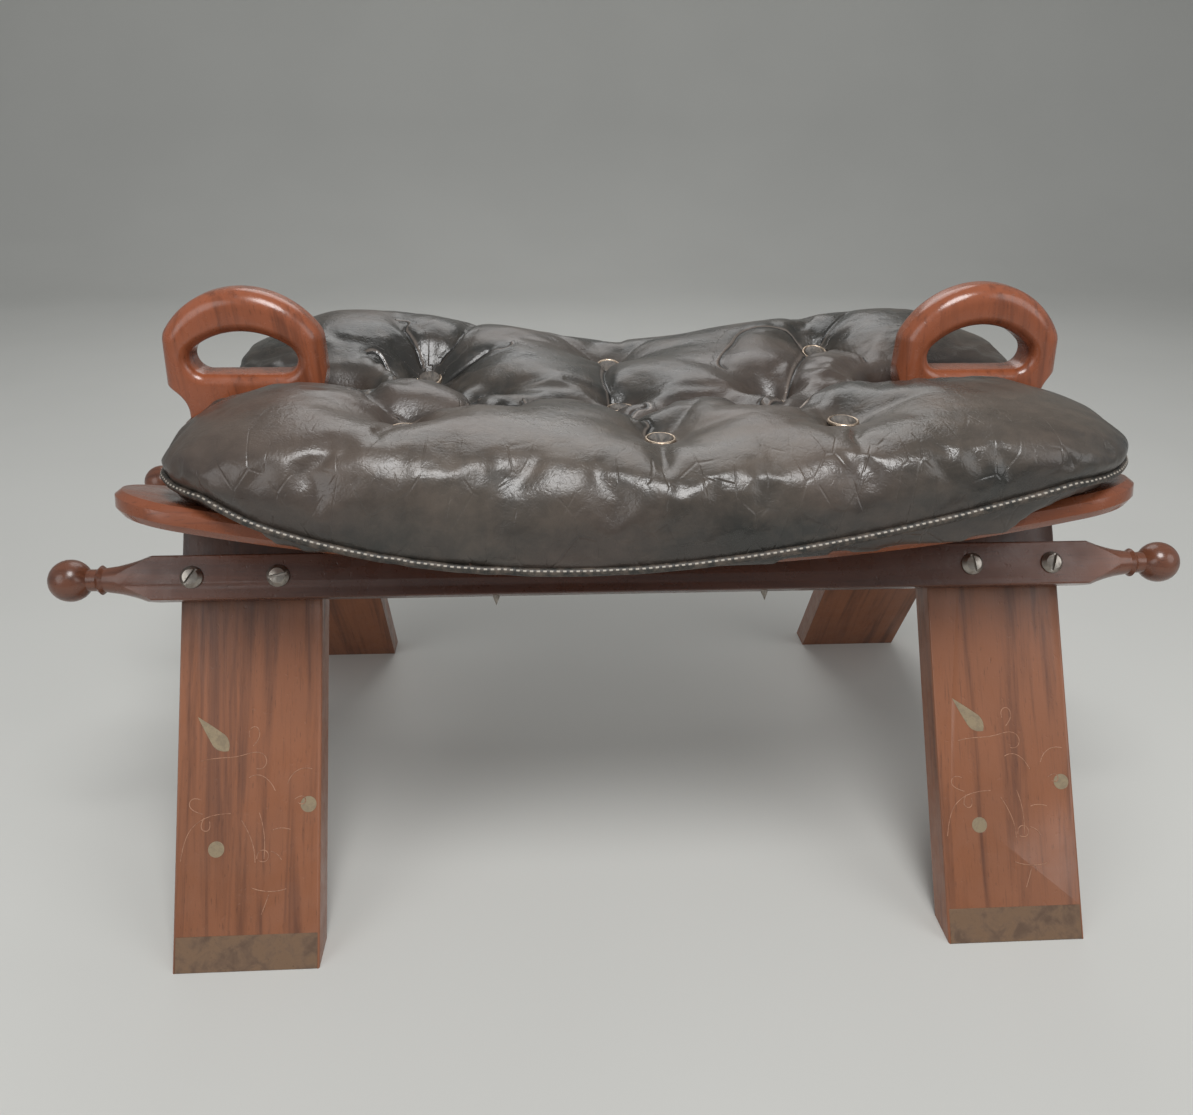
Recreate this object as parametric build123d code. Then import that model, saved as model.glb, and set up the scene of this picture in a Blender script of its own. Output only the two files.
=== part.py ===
from build123d import *
from math import cos, radians, sin, sqrt, tan
import os

# Camel saddle stool in millimetres. +Z is up, +X runs along the stool to the right, -Y is the front.
# The origin is on the floor, under the middle of the stool.

# Leg planks, leaning in towards the top
SPLAY = 31.3            # lean of each leg from vertical, degrees
FOOT_Y = 191.0          # outer face of a leg at the floor
LEG_X = 224.0           # middle of a leg along the stool
LEG_WIDTH = 82.0
LEG_THICK = 20.0
LEG_TOP = 272.0
LEG_ROUND = 1.2

# Handle blocks, upright between the leg tops
BLOCK_THICK = 27.0
STEM_BOTTOM = 246.0
STEM_OUTER = 266.0
LOOP_RADIUS = 55.0
LOOP_CORNER = 14.0      # where the arch meets the upright sides
SHOULDER_LOW = 299.0    # where the inner side turns in to the stem
HOLE_BOTTOM = 297.5
HOLE_CORNER = 9.0
LOOP_ROUND = 10.5
HOLE_ROUND = 6.5
# The two handles were cut by hand and differ. Each: inner and outer side, stem's inner side, top of the cove and
# top of the loop, then the hole's middle, top and arch radius. Distances along the stool run outwards.
HANDLE_RIGHT = (173.0, 275.5, 183.0, 296.0, 350.0, 223.5, 325.5, 42.0)
HANDLE_LEFT = (182.0, 279.0, 192.0, 290.0, 348.0, 230.5, 323.0, 48.0)

# Side rails, on the outer faces of the legs
RAIL_LOW = 210.5        # distance up the leg face
RAIL_HIGH = 236.5
RAIL_THICK = 16.0
RAIL_FLAT = 274.0       # where the turned end begins
NECK_X = 305.0
NECK_RADIUS = 7.0
RING_RADIUS = 8.6
RING_WIDTH = 4.0
BALL_X = 325.0
BALL_RADIUS = 12.3

# Seat slats, bowed boards along the rails
SLAT_LENGTH = 562.0
SLAT_WIDTH = 84.0
SLAT_THICK = 13.0
SLAT_BOW = 32.0
SLAT_ROUND = 3.6        # bull-nosed edge, cut as a bevel
SLAT_GAP = 1.2          # between a slat's inner edge and the leg face
SEAT_CUT = 1.8          # flat planed on a slat's underside for the rail
FRONT_TILT = 16.0
REAR_TILT = SPLAY       # the rear slat lies flat on its rail

# Fasteners
RAIL_SCREW_X = (205.0, 254.0)
RAIL_SCREW_HEAD = 6.5
RAIL_SCREW_DOME = 4.2
RAIL_SCREW_SHANK = 2.6
RAIL_SCREW_LENGTH = 30.0
SLOT_WIDTH = 1.5
SLOT_DEPTH = 1.9
SLAT_SCREW_X = 80.0
SLAT_SCREW_SHANK = 2.0
SLAT_SCREW_HEAD = 4.2
DOWEL_X = (204.0, 245.0)
DOWEL_Z = 262.5
DOWEL_RADIUS = 3.5
HOLE_PLAY = 0.1

# Brass on the outer face of each leg
BAND_HIGH = 20.0
BAND_THICK = 1.2
LEAF_AT = (-21.0, 133.5)
LEAF_LENGTH = 27.0
LEAF_WIDTH = 9.0
DISC_AT = ((-18.0, 68.0), (34.0, 92.0))
DISC_RADIUS = 4.6
INLAY_THICK = 1.0

# Cushion
CUSHION_SHIFT = 10.0    # it lies this far to the right of the frame
CUSHION_HALF = 264.0
CUSHION_DEPTH = 156.0   # half, at the middle
CORNER_DEPTH = 86.0     # half, at the ends
CROWN_PEAK = 0.72       # fraction of the half length where the ends are highest
MIDDLE_TOP = (284.0, 281.0, 284.0)   # front, centre and rear of the crown at mid length
PEAK_TOP = (300.0, 295.0, 306.0)     # the same over the legs
SEAM_LOW = 230.5        # lowest point of the front seam, a little left of the middle
SEAM_LOW_AT = -0.15     # in half lengths
SEAM_LEFT = (81.6, 2.46, 0.73)       # rise to the left: factor, power and the reach where it ends
SEAM_RIGHT = (45.5, 1.62, 0.95)
REAR_SEAM = (247.0, 280.0)           # rear seam at the middle and at the ends
REAR_LEAN = 12.0
SEAM_GAP = 0.8          # between the cover and the under panel
BULGE = 8.0
END_THICK = 11.0        # cushion above its seam at the very ends
CORE_REACH = 0.42       # fraction of the half length that the core fills
CORE_DEPTH = 96.0       # half
CORE_INSET = 22.0       # wadding over the core
WELT = 2.3              # radius of the cord on the seam
SEAT_PLAY = 1.9         # cushion to slats
WELT_STEPS = 20
WELT_CLEAR = (0.4, 0.6)              # room cut in the rear cord where the slat's tip passes it
STATIONS = (-0.985, -0.93, -0.83, -0.68, -0.5, -0.3, 0, 0.3, 0.5, 0.68, 0.83, 0.93, 0.985)
EDGE_WRAP = 3.4         # the underside goes this far past a slat's edge before it drops to the seam
WRAP_ROOM = 5.1         # room that this needs beside the slat
PANEL_EDGE = 5.0        # under panel where it leaves the slat
BELLY_Y = 62.0
NOTCH_HALF = 17.0       # slot round each handle
NOTCH_END = 173.0
NOTCH_FLARE = 28.0
NOTCH_FLARE_LOW = 270.0

# Tufts: x, y and the height of the button's seat
TUFTS_REAR = ((-127, 60, 275), (-3, 84, 276), (145, 86, 285))
TUFTS_CENTRE = ((-86, 0, 271), (-1, 0, 270), (96, 0, 273))
TUFTS_FRONT = ((-129, -76, 281), (15, -82, 276), (118, -84, 286))
TUFT_MOUTH = 24.0
TUFT_RISE = 14.0
TUFT_LEAN = (22.0, 0.0, 3.0)         # lean of the rear, centre and front buttons towards the front, degrees
BUTTON_RADIUS = 9.0
BUTTON_DOME = 4.4
RIM_HIGH = 1.8
TWINE_RADIUS = 1.0
PATCH_WIDTH = 13.0      # felt patch on which a twine is tied off
PATCH_THICK = 1.5

LEAN = (sin(radians(SPLAY)), cos(radians(SPLAY)))


def save(node, *solids):
    """Write one sub-part, as one solid or a group of separate ones."""
    shape = solids[0] if len(solids) == 1 else Compound(children=list(solids))
    shape.label = node
    export_step(shape, f"parts/{node}.step")


def mirror_x(shape):
    return shape.mirror(Plane.YZ)


def mirror_y(shape):
    return shape.mirror(Plane.XZ)


def face_plane(x, up, out=0.0):
    """Plane on the front leg's outer face: local x along the stool, y up the face, z out of it."""
    origin = (x, -FOOT_Y + up * LEAN[0] - out * LEAN[1], up * LEAN[1] + out * LEAN[0])
    return Plane(origin=origin, x_dir=(1, 0, 0), z_dir=(0, -LEAN[1], LEAN[0]))


def side_outline(*points):
    """Closed outline of straight edges in the YZ plane, given as (y, z)."""
    return Wire.make_polygon([Vector(0, y, z) for y, z in points], close=True)


def leg_blank():
    """Front right leg before any hole or recess is cut."""
    inner = -FOOT_Y + LEG_THICK / LEAN[1]
    slope = LEAN[0] / LEAN[1]
    half_block = BLOCK_THICK / 2
    outline = side_outline(
        (-FOOT_Y, 0),
        (inner, 0),
        (-half_block, (-half_block - inner) / slope),
        (-half_block, LEG_TOP),
        (-FOOT_Y + LEG_TOP * slope, LEG_TOP),
    )
    plank = extrude(Face(outline), amount=LEG_WIDTH, dir=(1, 0, 0))
    plank = plank.translate((LEG_X - LEG_WIDTH / 2, 0, 0))
    long_edges = plank.edges().filter_by(lambda e: abs(e.length - LEG_TOP / LEAN[1]) < 1)
    return fillet(long_edges, LEG_ROUND)


def handle_outline(shape):
    """Outline of a handle block in the XZ plane, on the right: stem, cove, loop and square shoulder."""
    inner, outer, stem, cove_top, top = shape[:5]
    cx = (inner + outer) / 2
    cz = top - LOOP_RADIUS
    outer_z = cz + sqrt(LOOP_RADIUS ** 2 - (outer - 1.0 - cx) ** 2)
    inner_z = cz + sqrt(LOOP_RADIUS ** 2 - (cx - inner - 1.0) ** 2)
    cove = cove_top - 15.0
    turn = SHOULDER_LOW - 25.0
    bow = (outer - STEM_OUTER) * 0.3
    edges = [
        Line((stem, 0, STEM_BOTTOM), (STEM_OUTER, 0, STEM_BOTTOM)),
        Line((STEM_OUTER, 0, STEM_BOTTOM), (STEM_OUTER, 0, cove)),
        ThreePointArc((STEM_OUTER, 0, cove), (STEM_OUTER + bow, 0, cove + 9.5), (outer, 0, cove_top)),
        Line((outer, 0, cove_top), (outer - 1.0, 0, outer_z)),
        ThreePointArc((outer - 1.0, 0, outer_z), (cx, 0, top), (inner + 1.0, 0, inner_z)),
        Line((inner + 1.0, 0, inner_z), (inner, 0, SHOULDER_LOW)),
        ThreePointArc((inner, 0, SHOULDER_LOW), (inner + (stem - inner) * 0.4, 0, SHOULDER_LOW - 14.0), (stem, 0, turn)),
        Line((stem, 0, turn), (stem, 0, STEM_BOTTOM)),
    ]
    return Wire(edges)


def hole_outline(shape):
    """The hand hole: flat bottom, rounded corners and a low arch, all tangent."""
    mid, top, arch = shape[5:]
    r = HOLE_CORNER
    arch_z = top - arch
    rise = HOLE_BOTTOM + r - arch_z
    across = sqrt((arch - r) ** 2 - rise ** 2)
    join_x = across * arch / (arch - r)
    join_z = arch_z + rise * arch / (arch - r)
    right = mid + across
    left = mid - across
    edges = [
        Line((left, 0, HOLE_BOTTOM), (right, 0, HOLE_BOTTOM)),
        ThreePointArc((right, 0, HOLE_BOTTOM), (right + r, 0, HOLE_BOTTOM + r), (mid + join_x, 0, join_z)),
        ThreePointArc((mid + join_x, 0, join_z), (mid, 0, top), (mid - join_x, 0, join_z)),
        ThreePointArc((mid - join_x, 0, join_z), (left - r, 0, HOLE_BOTTOM + r), (left, 0, HOLE_BOTTOM)),
    ]
    return Wire(edges)


def handle_block(shape):
    """A handle on the right, its loop rounded like a ring and its stem left square."""
    mid, top, arch = shape[5:]
    block = extrude(Face(handle_outline(shape)), amount=BLOCK_THICK / 2, dir=(0, 1, 0), both=True)
    block = fillet([e for e in block.edges().filter_by(Axis.Y) if e.center().Z > SHOULDER_LOW + 2], LOOP_CORNER)
    rim = [e for e in block.edges() if abs(e.center().Y) > 1 and e.center().Z > SHOULDER_LOW + 2]
    block = fillet(rim, LOOP_ROUND)
    sides = [e for e in block.edges() if abs(abs(e.center().Y) - BLOCK_THICK / 2) < 0.01
             and STEM_BOTTOM + 2 < e.center().Z < SHOULDER_LOW + 2]
    block = fillet(sides, 2.0)
    hole = extrude(Face(hole_outline(shape)), amount=BLOCK_THICK, dir=(0, 1, 0), both=True)
    block = block - hole
    throat = [e for e in block.edges() if abs(abs(e.center().Y) - BLOCK_THICK / 2) < 0.01
              and abs(e.center().X - mid) < 36
              and HOLE_BOTTOM - 1 < e.center().Z < top + 1]
    block = fillet(throat, HOLE_ROUND)
    for x in DOWEL_X:
        block -= Solid.make_cylinder(DOWEL_RADIUS + HOLE_PLAY, 80, Plane((x, -40, DOWEL_Z), z_dir=(0, 1, 0)))
    return block


def turned_end():
    """Profile of a rail's turned end, revolved about the rail's axis along +X."""
    ring = NECK_X + RING_WIDTH
    bead = RING_WIDTH / 2
    ball_start = BALL_X - sqrt(BALL_RADIUS ** 2 - (NECK_RADIUS - 0.6) ** 2)
    edges = [
        Line((0, 0), (0, 18.0)),
        Line((0, 18.0), (RAIL_FLAT, 18.0)),
        Line((RAIL_FLAT, 18.0), (RAIL_FLAT, 16.2)),
        ThreePointArc((RAIL_FLAT, 16.2), (RAIL_FLAT + 15.0, 10.2), (NECK_X, NECK_RADIUS)),
        Line((NECK_X, NECK_RADIUS), (NECK_X + bead, RING_RADIUS)),
        Line((NECK_X + bead, RING_RADIUS), (ring, NECK_RADIUS)),
        Line((ring, NECK_RADIUS), (ring, NECK_RADIUS - 0.6)),
        Line((ring, NECK_RADIUS - 0.6), (ball_start, NECK_RADIUS - 0.6)),
        ThreePointArc((ball_start, NECK_RADIUS - 0.6), (BALL_X, BALL_RADIUS), (BALL_X + BALL_RADIUS, 0)),
        Line((BALL_X + BALL_RADIUS, 0), (0, 0)),
    ]
    return revolve(Face(Wire(edges)), Axis.X, 360)


def rail():
    """Front rail: a flat bar whose two ends are turned round its own axis."""
    mid = face_plane(0, (RAIL_LOW + RAIL_HIGH) / 2, RAIL_THICK / 2)
    high = RAIL_HIGH - RAIL_LOW
    half = BALL_X + BALL_RADIUS + 1
    bar = Box(2 * NECK_X, high, RAIL_THICK)
    bar = fillet(bar.edges().filter_by(Axis.X), 1.0)
    end_stock = Box(half - NECK_X + 2, high, high).translate(((half + NECK_X - 2) / 2, 0, 0))
    end = turned_end()
    stock = bar + end_stock + mirror_x(end_stock)
    turned = end + mirror_x(end)
    return mid.location * (stock & turned)


def screw_holes():
    """Clearance for the four rail screws of the front side."""
    cutters = []
    for x in RAIL_SCREW_X:
        for side in (-1, 1):
            seat = face_plane(side * x, (RAIL_LOW + RAIL_HIGH) / 2, RAIL_THICK + 1)
            cutters.append(Solid.make_cylinder(RAIL_SCREW_SHANK + HOLE_PLAY, RAIL_SCREW_LENGTH + 1.2, Plane(
                seat.origin, x_dir=(1, 0, 0), z_dir=-seat.z_dir)))
    return cutters


def rail_screw(x, turn):
    """Slotted round-head screw from the rail's face into the leg; turn is the slot's angle."""
    seat = face_plane(x, (RAIL_LOW + RAIL_HIGH) / 2, RAIL_THICK)
    neck = RAIL_SCREW_LENGTH - 4.0
    outline = [
        (0, -RAIL_SCREW_LENGTH), (RAIL_SCREW_SHANK, -neck), (RAIL_SCREW_SHANK, 0), (RAIL_SCREW_HEAD, 0),
        (RAIL_SCREW_HEAD, 1.0), (RAIL_SCREW_HEAD * 0.68, RAIL_SCREW_DOME * 0.85), (0, RAIL_SCREW_DOME),
    ]
    profile = Wire.make_polygon([Vector(out, 0, up) for out, up in outline], close=True)
    screw = revolve(Face(profile), Axis.Z, 360)
    slot = Box(3 * RAIL_SCREW_HEAD, SLOT_WIDTH, 2 * SLOT_DEPTH).translate((0, 0, RAIL_SCREW_DOME))
    screw -= slot.rotate(Axis.Z, turn)
    return seat.location * screw


def slat_plane(tilt):
    """Plane on a front slat's upper face at mid length: y runs inwards, z is square to the slat."""
    outward = Vector(0, -cos(radians(tilt)), sin(radians(tilt)))
    square = Vector(0, sin(radians(tilt)), cos(radians(tilt)))
    arris = face_plane(0, RAIL_HIGH, RAIL_THICK).origin
    reach = (RAIL_THICK - SLAT_GAP) / cos(radians(SPLAY - tilt))
    middle = arris + outward * (SLAT_WIDTH / 2 - reach) + square * (SLAT_THICK - SEAT_CUT)
    return Plane(origin=middle, x_dir=(1, 0, 0), z_dir=square)


def bow_at(x):
    return SLAT_BOW * (2 * x / SLAT_LENGTH) ** 2


def slat_blank():
    """Bowed board with half-round, bull-nosed ends; its upper face dips to the origin."""
    half = SLAT_LENGTH / 2
    radius = (half ** 2 + SLAT_BOW ** 2) / (2 * SLAT_BOW)
    over = half + 15
    top_z = radius - sqrt(radius ** 2 - over ** 2)
    low_z = radius - sqrt((radius + SLAT_THICK) ** 2 - over ** 2)
    edges = [
        ThreePointArc((-over, 0, top_z), (0, 0, 0), (over, 0, top_z)),
        Line((over, 0, top_z), (over, 0, low_z)),
        ThreePointArc((over, 0, low_z), (0, 0, -SLAT_THICK), (-over, 0, low_z)),
        Line((-over, 0, low_z), (-over, 0, top_z)),
    ]
    board = extrude(Face(Wire(edges)), amount=SLAT_WIDTH, dir=(0, 1, 0), both=True)
    board &= extrude(SlotOverall(SLAT_LENGTH, SLAT_WIDTH), amount=200, both=True)
    return chamfer([e for e in board.edges() if e.length > 20], SLAT_ROUND)


def slat(tilt, rail_solid):
    """A slat in place, planed flat where it bears on the rail and bored for its two screws."""
    board = slat_plane(tilt).location * slat_blank()
    return board - rail_solid


def slat_screw(x, tilt):
    """Countersunk screw down through the slat and the rail; its tip comes out below the rail."""
    up = Vector(0, LEAN[0], LEAN[1])
    foot = face_plane(x, RAIL_LOW - 6.0, RAIL_THICK / 2)
    plane = Plane(foot.origin, x_dir=(1, 0, 0), z_dir=up)
    top = slat_plane(tilt)
    to_face = (Vector(top.origin) + Vector(*top.z_dir) * bow_at(x) - Vector(foot.origin)).dot(Vector(*top.z_dir))
    reach = to_face / up.dot(Vector(*top.z_dir)) - 1.0
    tip = 5.0
    cone = SLAT_SCREW_HEAD - SLAT_SCREW_SHANK
    half = Wire([
        Line((0, 0, 0), (SLAT_SCREW_SHANK, 0, tip)),
        Line((SLAT_SCREW_SHANK, 0, tip), (SLAT_SCREW_SHANK, 0, reach - cone)),
        Line((SLAT_SCREW_SHANK, 0, reach - cone), (SLAT_SCREW_HEAD, 0, reach)),
        Line((SLAT_SCREW_HEAD, 0, reach), (0, 0, reach)),
        Line((0, 0, reach), (0, 0, 0)),
    ])
    screw = revolve(Face(half), Axis.Z, 360)
    screw -= Box(3 * SLAT_SCREW_HEAD, 1.0, 1.6).translate((0, 0, reach))
    bore = Solid.make_cylinder(SLAT_SCREW_SHANK + HOLE_PLAY, 80).translate((0, 0, -2))
    sink = Solid.make_cone(SLAT_SCREW_SHANK + HOLE_PLAY, SLAT_SCREW_HEAD + HOLE_PLAY, cone, Plane(
        (0, 0, reach - cone), x_dir=(1, 0, 0), z_dir=(0, 0, 1)))
    well = Solid.make_cylinder(SLAT_SCREW_HEAD + HOLE_PLAY, 12, Plane((0, 0, reach), x_dir=(1, 0, 0), z_dir=(0, 0, 1)))
    return plane.location * screw, plane.location * (bore + sink + well)


def leaf_face():
    """A pointed leaf lying along its own x, its tip towards -x."""
    tip = (-LEAF_LENGTH / 2, 0)
    base = (LEAF_LENGTH / 2, 0)
    belly = LEAF_LENGTH / 6
    edges = [
        ThreePointArc(tip, (-LEAF_LENGTH / 8, LEAF_WIDTH * 0.30), (belly, LEAF_WIDTH / 2)),
        ThreePointArc((belly, LEAF_WIDTH / 2), (belly + 6.0, LEAF_WIDTH * 0.36), base),
        ThreePointArc(base, (belly + 6.0, -LEAF_WIDTH * 0.36), (belly, -LEAF_WIDTH / 2)),
        ThreePointArc((belly, -LEAF_WIDTH / 2), (-LEAF_LENGTH / 8, -LEAF_WIDTH * 0.30), tip),
    ]
    return Face(Wire(edges))


def inlays(x):
    """Leaf and discs let into the front leg at x, each a plate flush with the face."""
    leaf = extrude(leaf_face(), amount=-INLAY_THICK, dir=(0, 0, 1)).rotate(Axis.Z, -48)
    pieces = [face_plane(x + LEAF_AT[0], LEAF_AT[1]).location * leaf]
    for u, up in DISC_AT:
        disc = Solid.make_cylinder(DISC_RADIUS, INLAY_THICK).translate((0, 0, -INLAY_THICK))
        pieces.append(face_plane(x + u, up).location * disc)
    return pieces


def foot_recess(x):
    """Shallow recess across the foot of the front leg at x, open below."""
    band = Box(LEG_WIDTH - 2 * LEG_ROUND, BAND_HIGH + 5, BAND_THICK)
    return face_plane(x, 0).location * band.translate((0, (BAND_HIGH - 5) / 2, -BAND_THICK / 2))


def foot_band(x):
    """Brass strip in that recess, just clear of the floor."""
    floor_cut = Box(LEG_WIDTH + 20, 60, 20).translate((x, -FOOT_Y, -9.8))
    return foot_recess(x) - floor_cut


def crest(u, middle, peak, end):
    """Height along the cushion: a saddle dip, a peak over the legs and a round fall to the end."""
    q = min(abs(u) / CUSHION_HALF, 1.0)
    if q < CROWN_PEAK:
        return middle + (peak - middle) * (1 - cos(radians(180 * q / CROWN_PEAK))) / 2
    fall = (q - CROWN_PEAK) / (1 - CROWN_PEAK)
    return end + (peak - end) * sqrt(max(1 - fall ** 2, 0))


def seam_height(u, row):
    """Height of the front (row 0) or rear (row 1) seam."""
    q = u / CUSHION_HALF
    if row == 1:
        return REAR_SEAM[0] + (REAR_SEAM[1] - REAR_SEAM[0]) * q ** 2 + REAR_LEAN * q * (1 - q ** 2)
    factor, power, reach = SEAM_LEFT if q < SEAM_LOW_AT else SEAM_RIGHT
    return SEAM_LOW + factor * min(abs(q - SEAM_LOW_AT), reach) ** power


def half_depth(u):
    q = min(abs(u) / CUSHION_HALF, 1.0)
    waist = CUSHION_DEPTH - 6.0 * (q / CROWN_PEAK) ** 2
    if q < CROWN_PEAK:
        return waist
    fall = (q - CROWN_PEAK) / (1 - CROWN_PEAK)
    return CORNER_DEPTH + (CUSHION_DEPTH - 6.0 - CORNER_DEPTH) * sqrt(max(1 - fall ** 2, 0))


def slat_top(x, y, tilt):
    """Height of a slat's upper face at (x, y); y is positive outwards."""
    plane = slat_plane(tilt)
    rise = bow_at(x)
    middle_y = -plane.origin.Y - rise * sin(radians(tilt))
    middle_z = plane.origin.Z + rise * cos(radians(tilt))
    return middle_z + (y - middle_y) * tan(radians(tilt))


def slat_edge(x, tilt):
    """Distance from the middle of a slat's outer upper edge at x."""
    plane = slat_plane(tilt)
    radius = SLAT_WIDTH / 2
    into_end = min(max(abs(x) - (SLAT_LENGTH / 2 - radius), 0), radius)
    return -plane.origin.Y - bow_at(x) * sin(radians(tilt)) + sqrt(radius ** 2 - into_end ** 2) * cos(radians(tilt))


def under_edge(u, row):
    """Where the underside leaves the front or rear slat: distance from the middle and height."""
    x = CUSHION_SHIFT + u
    tilt = (FRONT_TILT, REAR_TILT)[row]
    edge = slat_edge(x, tilt)
    deep = half_depth(u)
    if deep > edge + WRAP_ROOM:
        return edge + EDGE_WRAP, slat_top(x, edge + EDGE_WRAP, tilt) + SEAT_PLAY
    reach = min(edge, deep - 8.0)
    return reach, slat_top(x, reach, tilt) + SEAT_PLAY


def seam_line(u):
    """Section of the seam surface as (y, z): from the front seam over both slat edges to the rear seam."""
    deep = half_depth(u)
    front, rear = seam_height(u, 0), seam_height(u, 1)
    line = [(-deep, front), (deep, rear)]
    for row, side in ((0, -1), (1, 1)):
        leave, height = under_edge(u, row)
        straight = (front + rear) / 2 + (rear - front) / 2 * side * leave / deep
        line.insert(1 + row, (side * leave, max(height + PANEL_EDGE, straight)))
    return line


def section(u, part):
    """One cross-section of the cushion's top or under half, closed along the seam surface."""
    x = CUSHION_SHIFT + u
    deep = half_depth(u)
    seam = [seam_height(u, row) for row in (0, 1)]
    ends = (seam[0] + END_THICK, (seam[0] + seam[1]) / 2 + END_THICK - 4, seam[1] + END_THICK)
    front, centre, rear = [crest(u, low, high, end) for low, high, end in zip(MIDDLE_TOP, PEAK_TOP, ends)]
    top, under = [], []
    for row, (side, peak) in enumerate(((-1, front), (1, rear))):
        rise = peak - seam[row]
        top.append([
            (side * deep, seam[row]),
            (side * (deep + BULGE), seam[row] + rise * 0.36),
            (side * (deep + 1.0), seam[row] + rise * 0.74),
            (side * deep * 0.86, peak - rise * 0.06),
            (side * deep * 0.66, peak),
            (side * deep * 0.34, centre + (peak - centre) * 0.45),
        ])
        belly = slat_top(x, BELLY_Y, (FRONT_TILT, REAR_TILT)[row]) + SEAT_PLAY
        leave, height = under_edge(u, row)
        under.append([(side * leave, height), (side * BELLY_Y, belly)])
    if part == "top":
        crown = top[0] + [(0, centre)] + top[1][::-1]
        skin = Spline(*[Vector(x, y, z) for y, z in crown])
        base = Polyline(*[Vector(x, y, z) for y, z in seam_line(u)])
        return Wire([skin] + list(base.edges()))
    lips = [(y, z - SEAM_GAP) for y, z in seam_line(u)]
    corners = lips + [under[1][0], under[1][1], under[0][1], under[0][0]]
    return Wire.make_polygon([Vector(x, y, z) for y, z in corners], close=True)


def cushion_form(part):
    """The top or under half of the padded saddle, without its notches and tufts."""
    return Solid.make_loft([section(k * CUSHION_HALF, part) for k in STATIONS])


def stuffing_core():
    """Firm straw core inside both halves, between the two handles."""
    wires = []
    for k in (-CORE_REACH, -CORE_REACH / 2, 0, CORE_REACH / 2, CORE_REACH):
        u = k * CUSHION_HALF
        x = CUSHION_SHIFT + u
        deep = CORE_DEPTH
        top = crest(u, MIDDLE_TOP[1], PEAK_TOP[1], REAR_SEAM[1]) - CORE_INSET
        low_front = slat_top(x, deep, FRONT_TILT) + 8.0
        low_rear = slat_top(x, deep, REAR_TILT) + 8.0
        belly = slat_top(x, BELLY_Y, FRONT_TILT) + 8.0
        wires.append(Wire.make_polygon([
            Vector(x, -deep, low_front), Vector(x, -deep, top), Vector(x, deep, top), Vector(x, deep, low_rear),
            Vector(x, BELLY_Y, belly), Vector(x, -BELLY_Y, belly)], close=True))
    return Solid.make_loft(wires, ruled=True)


def welt(side):
    """Corded welt just outside the seam of the front (-1) or rear (1) half, from notch to notch."""
    row = 0 if side < 0 else 1
    out, drop = WELT + 1.5, WELT + 1.0
    points = []
    for u in [k * CUSHION_HALF for k in STATIONS]:
        slope = (half_depth(u + 1) - half_depth(u - 1)) / 2
        step = out / sqrt(1 + slope ** 2)
        points.append(Vector(CUSHION_SHIFT + u - slope * step, side * (half_depth(u) + step),
                             seam_height(u, row) - drop))
    edge = Spline(*points)
    run = [edge @ (k / WELT_STEPS) for k in range(WELT_STEPS + 1)]
    last = STATIONS[-1] * CUSHION_HALF
    ends = []
    for way in (-1, 1):
        deep = half_depth(last)
        front, rear = seam_height(way * last, 0), seam_height(way * last, 1)
        ends.append([Vector(CUSHION_SHIFT + way * (last + out), side * y,
                            (front + rear) / 2 + (rear - front) / 2 * side * y / deep - drop)
                     for y in (38.0, 70.0, deep - 8.0)])
    path = Polyline(*(ends[0] + run + ends[1][::-1]))
    start = Plane(path @ 0, z_dir=path % 0)
    return sweep(start * RegularPolygon(WELT, 8), path=path, transition=Transition.RIGHT)


def notch():
    """Slot for one handle, flared at the top so that the cushion falls away round the loop."""
    half = NOTCH_HALF
    bend = NOTCH_FLARE
    low = NOTCH_FLARE_LOW
    drop = bend * (1 - cos(radians(45)))
    high = low + bend
    right = [
        Line((0, 0, 180), (half, 0, 180)),
        Line((half, 0, 180), (half, 0, low)),
        ThreePointArc((half, 0, low), (half + drop, 0, high - drop), (half + bend, 0, high)),
        Line((half + bend, 0, high), (half + bend, 0, 420)),
        Line((half + bend, 0, 420), (0, 0, 420)),
        Line((0, 0, 420), (0, 0, 180)),
    ]
    profile = Face(Wire(right))
    round_end = revolve(profile, Axis.Z, 360).translate((NOTCH_END, 0, 0))
    wing = extrude(profile.rotate(Axis.Z, 90), amount=160, dir=(1, 0, 0)).translate((NOTCH_END, 0, 0))
    return round_end + wing + mirror_y(wing)


def a_frame_room():
    """Room for one A-frame under the cushion."""
    slope = LEAN[0] / LEAN[1]
    play = 1.2
    top = LEG_TOP + play
    half_top = FOOT_Y - LEG_TOP * slope + play
    low = 190.0
    half_low = FOOT_Y - low * slope + play / LEAN[1]
    outline = side_outline((-half_low, low), (half_low, low), (half_top, top), (-half_top, top))
    inner = LEG_X - LEG_WIDTH / 2 - play
    return extrude(Face(outline), amount=130, dir=(1, 0, 0)).translate((inner, 0, 0))


def funnel(spot, row):
    """Trumpet-shaped dimple over one button."""
    r = BUTTON_RADIUS + 0.6
    outline = [(0, 0), (r, 0), (TUFT_MOUTH, TUFT_RISE), (TUFT_MOUTH, TUFT_RISE + 40), (0, TUFT_RISE + 40)]
    profile = Wire.make_polygon([Vector(out, 0, up) for out, up in outline], close=True)
    return tuft_place(spot, row) * revolve(Face(profile), Axis.Z, 360)


def tuft_place(spot, row):
    lean = radians(TUFT_LEAN[row])
    return Plane(origin=spot, x_dir=(1, 0, 0), z_dir=(0, -sin(lean), cos(lean))).location


def button(spot, row):
    """Leather button: a low dome that stands in its rim."""
    r = BUTTON_RADIUS - 1.2
    dome = [(0, RIM_HIGH), (r, RIM_HIGH), (r * 0.62, BUTTON_DOME * 0.86), (0, BUTTON_DOME)]
    profile = Wire.make_polygon([Vector(out, 0, up) for out, up in dome], close=True)
    return tuft_place(spot, row) * revolve(Face(profile), Axis.Z, 360)


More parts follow.
